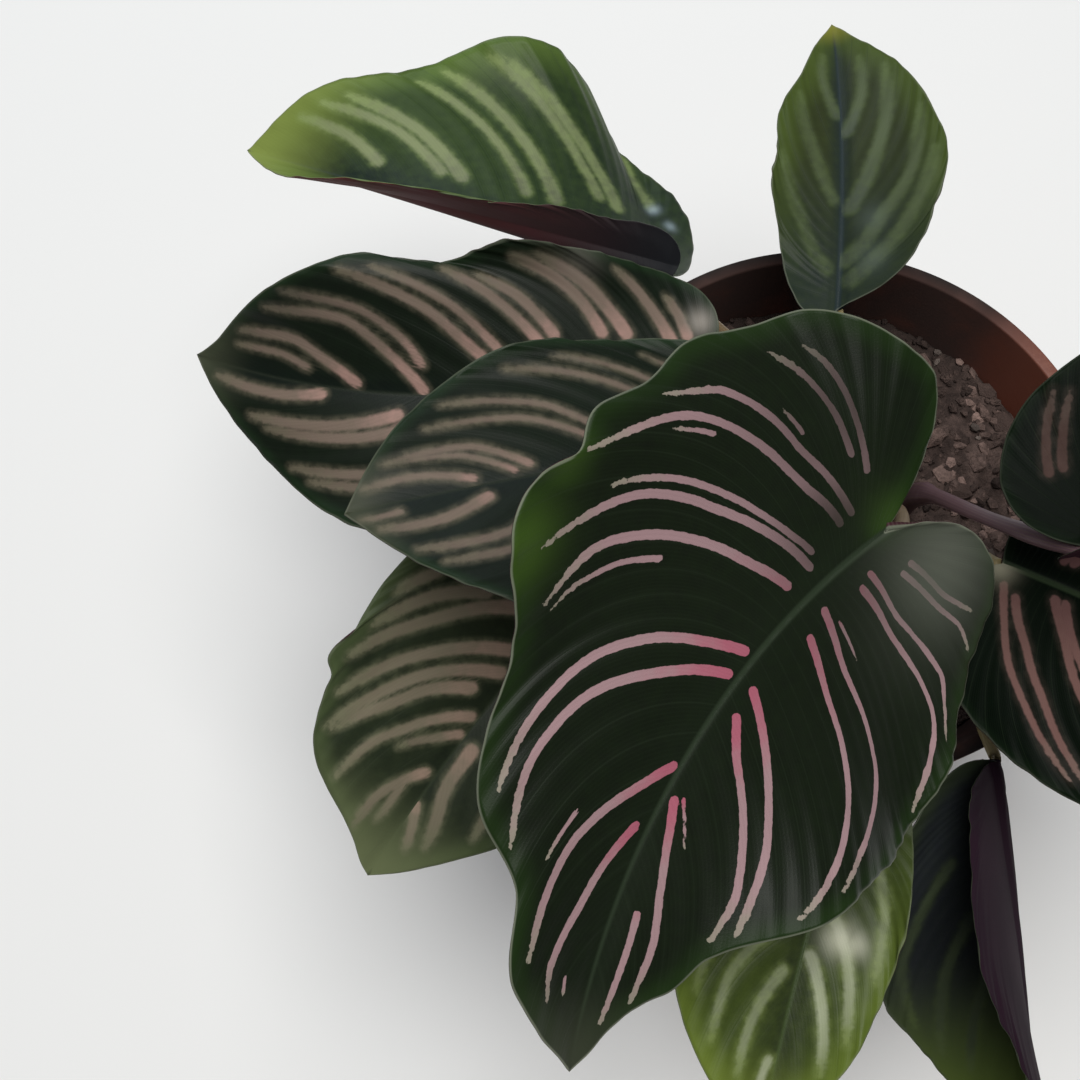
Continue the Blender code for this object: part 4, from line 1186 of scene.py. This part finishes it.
def earth_material(name, base, grain_mm, contrast=0.8):
    """Damp crumbly matter with a tone of its own on each crumb, darkened where painted shade is stored in
    that tone.
    """
    made, tree, shader = new_material(name, specular=0.25)
    cloud = clouds(tree, grain_mm, 1.8)
    darker = tuple(c * 0.35 for c in base)
    lighter = tuple(min(1.0, c * 1.7 + 0.01) for c in base)
    tone = cloud * (contrast * 0.4) + reading(tree, "tone") * 0.6
    dress(shader, blend(ramp(tone, 0.15, 0.85), darker, lighter), ramp(cloud, 0.0, 1.0, 0.75, 0.98),
          clouds(tree, grain_mm * 0.3, 2.0), grain_mm * 0.25)
    return made


def add_object(name, data):
    """Put new data in the scene as an object."""
    made = bpy.data.objects.new(name, data)
    bpy.context.scene.collection.objects.link(made)
    return made


def add_piece(name, mesh, material, slot, *nodes):
    """Put a finished mesh in the scene, on its body, in place of the nodes that it stands for."""
    mesh.materials.append(material)
    piece = add_object(name, mesh)
    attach(piece, BODY)
    if nodes:
        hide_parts(*nodes)
    return piece


# Pot

RIM_ROUNDING = 0.0006
ROUNDED_SHARE = 0.45
FOOT_WIDTH = 0.0040
FOOT_HEIGHT = 0.0010
STEP_LINES = (0.030, 0.094)
STEP_OUT = 0.0004
STEP_HEIGHT = 0.0012
MERGE_DISTANCE = 1e-7
SHARP_ANGLE = radians(50)

# Wear: depth of the skin of the band and of its top edge, the band's share of it, and height of the scuffed
# foot
BAND_SKIN = 0.001
TOP_SKIN = 0.0012
BAND_WEAR = 0.55
WORN_FOOT = 0.006

# Painted shade on the inside and the top edge, weakest on the lit side: how much of it the lit side loses,
# how wide that side is as a cosine, how far the painted shade hides the wear, and where and by how much the
# stain and shade inside grow weaker above the soil
LESS_SHADE_ON_LIT_SIDE = 0.85
LIT_FROM = 0.78
LIT_OVER = 0.2
WEAR_HIDDEN_IN_SHADE = 0.95
STAIN_FROM = 0.020
STAIN_OVER = 0.018
STAIN_LOSS = 0.12
INNER_SKIN = 0.6         # share of the wall's thickness, from outside, beyond which a point lies inside


def round_corner(before, corner, after, radius, steps=5):
    """Points of a rounded corner of a profile."""
    before, corner, after = (np.array(p) for p in (before, corner, after))
    start = corner + unit(before - corner) * radius
    end = corner + unit(after - corner) * radius
    t = np.linspace(0, 1, steps)[:, None]
    return ((1 - t) ** 2 * start + 2 * t * (1 - t) * corner + t ** 2 * end).tolist()


def outer_radius(pot, z):
    """Outside of the pot's wall at the height z, as if it had no band."""
    top = pot.rim_radius - pot.band_step
    return pot.base_radius + (top - pot.base_radius) * z / pot.height


def pot_profile(pot):
    """Profile of the pot as radius and height, from the axis below round the rim to the axis inside."""
    band = pot.height - pot.band_height
    corners = [(pot.base_radius - FOOT_WIDTH, FOOT_HEIGHT), (pot.base_radius - FOOT_WIDTH, 0.0),
               (pot.base_radius, 0.0)]
    for z in STEP_LINES:
        wall = outer_radius(pot, z)
        corners += [(wall, z), (wall + STEP_OUT, z + STEP_OUT),
                    (outer_radius(pot, z + STEP_HEIGHT), z + STEP_HEIGHT)]
    corners += [(outer_radius(pot, band), band), (pot.rim_radius, band), (pot.rim_radius, pot.height),
                (outer_radius(pot, pot.height) - pot.wall, pot.height),
                (outer_radius(pot, pot.wall) - pot.wall, pot.wall)]
    path = [(0.0, FOOT_HEIGHT), *corners, (0.0, pot.wall)]
    profile = [path[0]]
    for before, corner, after in zip(path, path[1:], path[2:]):
        reach = min(np.linalg.norm(np.subtract(end, corner)) for end in (before, after))
        profile += round_corner(before, corner, after, min(RIM_ROUNDING, reach * ROUNDED_SHARE))
    return profile + [path[-1]]


def pot_mesh(pot):
    """Turned shell of the pot, with wear, stain and painted shade stored on its points."""
    bm = bmesh.new()
    verts = [bm.verts.new((r, 0.0, z)) for r, z in pot_profile(pot)]
    edges = [bm.edges.new(pair) for pair in zip(verts, verts[1:])]
    bmesh.ops.spin(bm, geom=verts + edges, cent=(0, 0, 0), axis=(0, 0, 1), angle=tau, steps=pot.segments,
                   use_merge=True)
    bmesh.ops.remove_doubles(bm, verts=bm.verts, dist=MERGE_DISTANCE)
    mesh = finish_mesh(bpy.data.meshes.new("nursery_pot"), bm)
    mesh.set_sharp_from_angle(angle=SHARP_ANGLE)

    x, y, height = np.array([v.co for v in mesh.vertices]).T
    radius = np.hypot(x, y)
    outermost = smooth_step((radius - (pot.rim_radius - BAND_SKIN)) / BAND_SKIN)
    top_edge = smooth_step((height - (pot.height - TOP_SKIN)) / TOP_SKIN)
    # Painted shade: the side turned away from the lit side is darker inside and on the top edge
    toward_lit = np.cos(np.arctan2(y, x) - pot.clean_side)
    shaded_side = 1 - LESS_SHADE_ON_LIT_SIDE * smooth_step((toward_lit - LIT_FROM) / LIT_OVER)
    # The rim's wear shows only on the lit side, as painted light; on the other side painted shade hides it
    lit_rim_wear = np.maximum(outermost * BAND_WEAR, top_edge) * (1 - WEAR_HIDDEN_IN_SHADE * shaded_side)
    at_band = height > pot.height - pot.band_height
    inside = radius < outer_radius(pot, height) - pot.wall * INNER_SKIN
    inner_stain_and_shade = 1 - STAIN_LOSS * smooth_step((height - (pot.height - STAIN_FROM)) / STAIN_OVER)
    store(mesh, worn=np.where(at_band, lit_rim_wear, smooth_step(1 - height / WORN_FOOT)),
          stain=np.where(inside, inner_stain_and_shade, top_edge) * shaded_side)
    return mesh


# Soil

SOIL_MOUND = 0.0035
EDGE_DROP = 0.6          # share of the mound by which the soil's edge lies lower
SOIL_RIPPLE = 0.0010
SOIL_RIPPLES = ((210, 190, 0.3, 0.5), (210, -190, 1.1, 0.5), (95, -130, 1.9, 0.6))
SOIL_RINGS = 80
SOIL_SEGMENTS = 220
SOIL_SINK = 0.0006
LUMP_HEIGHT = 0.0016
LUMP_GRAIN = 260
LUMP_LAYER = 0.013
LUMP_OCTAVES = (0.9, 2.1, 4)
TONE_GRAIN = 170

# Painted shade on the soil at the back left: its direction in plan, how far it spreads past the middle, and
# how dark it is
SOIL_SHADE_SIDE = (-0.8, 0.6)
SOIL_SHADE_SPREAD = 0.62
SOIL_SHADE_STRENGTH = 0.92

# Crumbs: space to the wall and to a stalk, tilt, least breadth and its spread, and lift of their middle
CRUMB_TO_WALL = 0.0040
CRUMB_TO_STALK = 0.0032
CRUMB_TILT = radians(22)
CRUMB_BREADTH = (0.55, 0.35)
CRUMB_ABOVE = 0.22


def soil_height(x, y, pot, soil):
    """Top of the soil: the low mound and ripples of the packed soil, with small lumps on them."""
    distance = (x * x + y * y) ** 0.5 / pot.rim_radius
    ripple = sum(part * sin(x * in_x + y * in_y + start) for in_x, in_y, start, part in SOIL_RIPPLES)
    lumps = noise.fractal(Vector((x, y, LUMP_LAYER)) * LUMP_GRAIN, *LUMP_OCTAVES) * LUMP_HEIGHT
    level = pot.height - soil.level_below_rim
    return level + SOIL_MOUND * (0.5 - distance ** 2) + SOIL_RIPPLE * ripple + lumps - SOIL_SINK


def painted_soil_shade(x, y, pot):
    """Share by which the soil is painted darker at the back left, as painted shade."""
    toward = (SOIL_SHADE_SIDE[1] * y + SOIL_SHADE_SIDE[0] * x) / pot.rim_radius
    return SOIL_SHADE_STRENGTH * float(smooth_step(SOIL_SHADE_SPREAD + toward))


def soil_mesh(pot, soil):
    """Closed plug of soil with a lumpy top."""
    def wall(z):
        return outer_radius(pot, z) - pot.wall - GAP

    level = pot.height - soil.level_below_rim - SOIL_MOUND * EDGE_DROP
    floor = pot.wall + GAP
    angles = np.linspace(0, tau, SOIL_SEGMENTS, endpoint=False)
    bm = bmesh.new()
    rings = []
    for k in range(1, SOIL_RINGS + 1):
        radius = wall(level) * k / SOIL_RINGS
        ring = []
        for a in angles:
            x, y = radius * cos(a), radius * sin(a)
            ring.append(bm.verts.new((x, y, soil_height(x, y, pot, soil))))
        rings.append(ring)
    rings.append([bm.verts.new((wall(floor) * cos(a), wall(floor) * sin(a), floor)) for a in angles])
    top = bm.verts.new((0, 0, soil_height(0, 0, pot, soil)))
    under = bm.verts.new((0, 0, floor))
    for k in range(SOIL_SEGMENTS):
        j = (k + 1) % SOIL_SEGMENTS
        bm.faces.new((top, rings[0][k], rings[0][j]))
        bm.faces.new((under, rings[-1][j], rings[-1][k]))
        for inner, outer in zip(rings, rings[1:]):
            bm.faces.new((inner[k], outer[k], outer[j], inner[j]))
    mesh = finish_mesh(bpy.data.meshes.new("soil_bed"), bm)
    # Each point's tone, darkened at the back left by painted shade
    store(mesh, tone=[(0.5 + 0.5 * noise.noise(v.co * TONE_GRAIN)) * (1 - painted_soil_shade(v.co.x, v.co.y, pot))
                      for v in mesh.vertices])
    return mesh


def crumb_mesh(name, number, sizes, flatness, roughness, pot, soil, seed):
    """Many small broken bits lying on the soil, each closed, turned its own way and a little sunk in."""
    draw = np.random.default_rng(seed)
    ball = bmesh.new()
    bmesh.ops.create_icosphere(ball, subdivisions=1, radius=1.0)
    shape = np.array([v.co for v in ball.verts])
    faces = np.array([[v.index for v in f.verts] for f in ball.faces])
    ball.free()
    reach = pot.rim_radius - pot.band_step - pot.wall - CRUMB_TO_WALL
    points, corners, tones = [], [], []
    for _ in range(number):
        radius = reach * draw.random() ** 0.5
        angle = tau * draw.random()
        size = sizes[0] + (sizes[1] - sizes[0]) * draw.random() ** 2
        x, y = radius * cos(angle), radius * sin(angle)
        nearest = min((x - leaf.root[0]) ** 2 + (y - leaf.root[1]) ** 2 for leaf in LEAVES)
        if nearest < (CRUMB_TO_STALK + size / 2) ** 2:
            continue
        bit = shape * (1 + roughness * draw.uniform(-1, 1, (len(shape), 1)))
        bit = bit * (1.0, CRUMB_BREADTH[0] + CRUMB_BREADTH[1] * draw.random(), flatness) * size / 2
        tilt = Matrix.Rotation(CRUMB_TILT * draw.standard_normal(), 3, "X")
        spin = Matrix.Rotation(tau * draw.random(), 3, "Z")
        turned = bit @ np.array(spin @ tilt).T
        z = soil_height(x, y, pot, soil) + size * flatness * CRUMB_ABOVE
        corners.append(faces + len(points) * len(shape))
        points.append(turned + (x, y, z))
        # Each crumb's tone, darkened at the back left by painted shade
        tones += [draw.random() * (1 - painted_soil_shade(x, y, pot))] * len(shape)
    mesh = bpy.data.meshes.new(name)
    mesh.from_pydata(np.vstack(points).tolist(), [], np.vstack(corners).tolist())
    store(mesh, tone=tones)
    return mesh


# Stalks

END_IN_RIB = 0.6
RADIUS_SAMPLES = 400
RADIUS_SMOOTHING = 41
MEAN_RADIUS = 0.0018

# Sheath: where and how fast it ends, how wide it is, how slim its wings are and where they begin
SHEATH_TOP = 0.42
SHEATH_FADE = 0.12
SHEATH_WIDTH = 0.45
WING_SLIMNESS = 3
WING_RISE = (0.02, 0.06)

# Groove on the inner side: its depth, how far round it reaches as a cosine, and where it ends
GROOVE_SHARE = 0.16
GROOVE_SIDE = (0.55, 0.45)
GROOVE_TOP = 0.84
GROOVE_FADE = 0.1


def stalk_mesh(leaf, pot, soil, settings):
    """Tube from its hole to the blade, with a sheath at the foot, a groove and a swelling at the top."""
    level = pot.height - soil.level_below_rim
    blade = Blade(leaf)
    down = blade.down_at_base()
    end = np.array(leaf.base) + down * (BLADE_THICKNESS + RIB_AT_BASE * END_IN_RIB)
    start = np.array((*leaf.root, level + STALK_START))
    path = bezier((start, start + (0, 0, leaf.rise), end - direction(*leaf.come) * leaf.reach, end),
                  np.linspace(0, 1, STALK_PATH_STEPS))
    shares = np.linspace(0, 1, settings.rings)
    centres = resample(path, shares)
    foot = np.array((*leaf.root, level - HOLE_DEPTH + GAP))
    centres = np.vstack((foot, centres))
    shares = np.concatenate(([0.0], shares))
    radii = np.array(STALK_RADII)
    radii[4] = leaf.pulvinus
    knots = np.linspace(0, 1, RADIUS_SAMPLES)
    padded = np.pad(np.interp(knots, STALK_STATIONS, radii), RADIUS_SMOOTHING // 2, mode="edge")
    smooth = np.convolve(padded, np.ones(RADIUS_SMOOTHING) / RADIUS_SMOOTHING, "valid")
    tangents = unit(np.gradient(centres, axis=0))
    tangents[:2] = (0, 0, 1)
    tangents[-1] = -down
    across = np.array((1.0, 0.0, 0.0))
    angles = np.linspace(0, tau, settings.sides, endpoint=False)
    facing = direction(leaf.come[0], 0)
    points, share_up, around = [], [], []
    for centre, s, tangent in zip(centres, shares, tangents):
        across = unit(across - tangent * (across @ tangent))
        other = np.cross(tangent, across)
        outward = np.cos(angles)[:, None] * across + np.sin(angles)[:, None] * other
        radius = np.interp(s, knots, smooth)
        sheath = smooth_step((SHEATH_TOP - s) / SHEATH_FADE) * SHEATH_WIDTH
        inner_side = smooth_step((outward @ -facing - GROOVE_SIDE[0]) / GROOVE_SIDE[1])
        groove = GROOVE_SHARE * inner_side * smooth_step((GROOVE_TOP - s) / GROOVE_FADE)
        flank = np.abs(outward @ np.cross(facing, (0, 0, 1))) ** WING_SLIMNESS
        wing = 1 + sheath * flank * smooth_step((s + WING_RISE[0]) / WING_RISE[1])
        points.append(centre + outward * (radius * wing * (1 - groove))[:, None])
        share_up += [s] * settings.sides
        around += (angles * MEAN_RADIUS / MM).tolist()
    sides, rings = settings.sides, len(centres)
    grid = np.arange(rings * sides).reshape(rings, sides)
    turned = np.roll(grid, -1, axis=1)
    quads = np.stack((grid[:-1], turned[:-1], turned[1:], grid[1:]), -1).reshape(-1, 4).tolist()
    mesh = bpy.data.meshes.new("stalk_" + leaf.name)
    mesh.from_pydata(np.vstack(points).tolist(), [], quads + [grid[0, ::-1].tolist(), grid[-1].tolist()])
    store(mesh, along=share_up, around_mm=around, flush=[leaf.flush] * len(share_up))
    return finish_mesh(mesh)


# Operators

class CALATHEA_OT_make_pot(Operator):
    """Make the nursery pot."""

    bl_idname = "calathea.make_pot"
    bl_label = "Make Pot"

    def execute(self, context):
        settings = context.scene.calathea_pot
        add_piece("nursery_pot", pot_mesh(settings), pot_material(settings), "pot_plastic", "pot")
        return {"FINISHED"}


class CALATHEA_OT_make_soil(Operator):
    """Make the soil and the crumbs, bark chips and perlite grains that lie on it."""

    bl_idname = "calathea.make_soil"
    bl_label = "Make Soil"

    def execute(self, context):
        pot, soil = context.scene.calathea_pot, context.scene.calathea_soil
        peat = earth_material("damp_peat", soil.peat, 2.2)
        bark = earth_material("bark", soil.bark, 1.4)
        perlite = earth_material("perlite", soil.perlite, 0.9, 0.5)
        add_piece("soil_bed", soil_mesh(pot, soil), peat, "soil", "soil")
        kinds = (  # name, number, smallest and largest size, flatness, roughness, material
            ("peat_crumbs", soil.peat_count, (0.0012, 0.0042), 0.75, 0.22, peat),
            ("bark_chips", soil.bark_count, (0.0030, 0.0095), 0.38, 0.18, bark),
            ("perlite_grains", soil.perlite_count, (0.0016, 0.0042), 0.85, 0.16, perlite),
        )
        for turn, (name, number, sizes, flatness, roughness, material) in enumerate(kinds):
            mesh = crumb_mesh(name, number, sizes, flatness, roughness, pot, soil, soil.seed + turn)
            add_piece(name, mesh, material, "soil")
        return {"FINISHED"}


class CALATHEA_OT_make_stalks(Operator):
    """Make the ten stalks."""

    bl_idname = "calathea.make_stalks"
    bl_label = "Make Stalks"

    def execute(self, context):
        scene = context.scene
        material = stalk_material(scene.calathea_stalks)
        for leaf in LEAVES:
            mesh = stalk_mesh(leaf, scene.calathea_pot, scene.calathea_soil, scene.calathea_stalks)
            add_piece("petiole_" + leaf.name, mesh, material, "stalk_skin", "stalk_" + leaf.name)
        return {"FINISHED"}


class CALATHEA_OT_make_blades(Operator):
    """Make the ten striped leaf blades."""

    bl_idname = "calathea.make_blades"
    bl_label = "Make Blades"

    def execute(self, context):
        settings = context.scene.calathea_blades
        materials = {name: blade_material(name, palette, settings) for name, palette in PALETTES.items()}
        for leaf in LEAVES:
            slot = "young_blade" if leaf.finish == "young" else "mature_blade"
            mesh = blade_mesh(leaf, settings)
            add_piece("blade_" + leaf.name, mesh, materials[leaf.finish], slot, "leaf_" + leaf.name)
        return {"FINISHED"}


FLOOR_SIZE = 3.0
FLOOR_DROP = 0.0005
LIGHT_AIM = (0.0, 0.0, 0.18)
LIGHTS = (  # name, setting of its power, colour, heading, pitch, distance, size
    ("key_softbox", "key", (1.0, 0.99, 0.97), 0, 89, 2.0, 1.5),
    ("sky_softbox", "sky", (0.82, 0.91, 1.0), 105, 34, 1.3, 0.8),
)
SURROUNDINGS = (0.93, 0.96, 1.0, 1.0)
CAMERA_PLACE = (-0.079, -0.116, 0.460)
CAMERA_TILT = 17.5
SENSOR_WIDTH_MM = 36.0
NEAREST_SEEN = 0.01


def make_floor(settings):
    """Large pale floor just below the pot."""
    bm = bmesh.new()
    bmesh.ops.create_grid(bm, x_segments=1, y_segments=1, size=FLOOR_SIZE)
    mesh = bpy.data.meshes.new("floor")
    bm.to_mesh(mesh)
    bm.free()
    made, tree, shader = new_material("pale_floor", specular=0.1)
    tint = tuple(c * 0.97 for c in settings.floor)
    feed(shader["Base Color"], blend(clouds(tree, 180.0, 0.5), tint, settings.floor))
    feed(shader["Roughness"], 0.9)
    mesh.materials.append(made)
    floor = add_object("floor", mesh)
    floor.location.z = -FLOOR_DROP


def make_light(name, power, tone, heading, pitch, distance, size):
    """Round soft light that is aimed at the leaves."""
    lamp = bpy.data.lights.new(name, "AREA")
    lamp.energy = power
    lamp.color = tone
    lamp.shape = "DISK"
    lamp.size = size
    holder = add_object(name, lamp)
    aim = Vector(LIGHT_AIM)
    holder.location = aim + Vector(direction(heading, pitch)) * distance
    holder.rotation_euler = (aim - holder.location).to_track_quat("-Z", "Y").to_euler()


def make_world(settings):
    """Surroundings that look brighter in the picture than the light they lend."""
    world = bpy.data.worlds.new("pale_surroundings")
    world.use_nodes = True
    backdrop = world.node_tree.nodes["Background"].inputs
    seen = put(world.node_tree, "ShaderNodeLightPath")["Is Camera Ray"]
    backdrop["Color"].default_value = SURROUNDINGS
    feed(backdrop["Strength"], ramp(seen, 0.0, 1.0, settings.fill, settings.backdrop))
    return world


def make_camera(settings):
    """Camera above and in front of the plant, as in the photo."""
    lens = bpy.data.cameras.new("camera")
    lens.lens = settings.lens
    lens.sensor_width = SENSOR_WIDTH_MM
    lens.clip_start = NEAREST_SEEN
    camera = add_object("camera", lens)
    camera.location = CAMERA_PLACE
    camera.rotation_euler = (radians(CAMERA_TILT), 0.0, 0.0)
    return camera


class CALATHEA_OT_make_stage(Operator):
    """Make the floor, the soft lights and the camera."""

    bl_idname = "calathea.make_stage"
    bl_label = "Make Stage"

    def execute(self, context):
        scene, settings = context.scene, context.scene.calathea_stage
        make_floor(settings)
        for name, power, *place in LIGHTS:
            make_light(name, getattr(settings, power), *place)
        scene.world = make_world(settings)
        scene.view_settings.view_transform = "Standard"
        scene.camera = make_camera(settings)
        return {"FINISHED"}


class CALATHEA_PT_panel(Panel):
    """Lists the steps and their settings."""

    bl_idname = "CALATHEA_PT_panel"
    bl_label = "Potted Calathea"
    bl_space_type = "VIEW_3D"
    bl_region_type = "UI"
    bl_category = "Calathea"

    def draw(self, context):
        for step, group in STEPS:
            box = self.layout.box()
            box.operator(step.bl_idname)
            settings = getattr(context.scene, group)
            for name in settings.__annotations__:
                box.prop(settings, name)


GROUPS = {
    "calathea_pot": PotSettings,
    "calathea_soil": SoilSettings,
    "calathea_stalks": StalkSettings,
    "calathea_blades": BladeSettings,
    "calathea_stage": StageSettings,
}
STEPS = (
    (CALATHEA_OT_make_stage, "calathea_stage"),
    (CALATHEA_OT_make_pot, "calathea_pot"),
    (CALATHEA_OT_make_soil, "calathea_soil"),
    (CALATHEA_OT_make_stalks, "calathea_stalks"),
    (CALATHEA_OT_make_blades, "calathea_blades"),
)


def register():
    """Make the settings, operators and panel known to Blender."""
    for group in GROUPS.values():
        bpy.utils.register_class(group)
    for step, _ in STEPS:
        bpy.utils.register_class(step)
    bpy.utils.register_class(CALATHEA_PT_panel)
    for name, group in GROUPS.items():
        setattr(bpy.types.Scene, name, PointerProperty(type=group))


def unregister():
    """Take the settings, operators and panel away again."""
    for name in GROUPS:
        delattr(bpy.types.Scene, name)
    bpy.utils.unregister_class(CALATHEA_PT_panel)
    for step, _ in reversed(STEPS):
        bpy.utils.unregister_class(step)
    for group in reversed(GROUPS.values()):
        bpy.utils.unregister_class(group)


def main():
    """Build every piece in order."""
    register()
    bpy.ops.calathea.make_stage()
    bpy.ops.calathea.make_pot()
    bpy.ops.calathea.make_soil()
    bpy.ops.calathea.make_stalks()
    bpy.ops.calathea.make_blades()


if __name__ == "__main__":
    main()
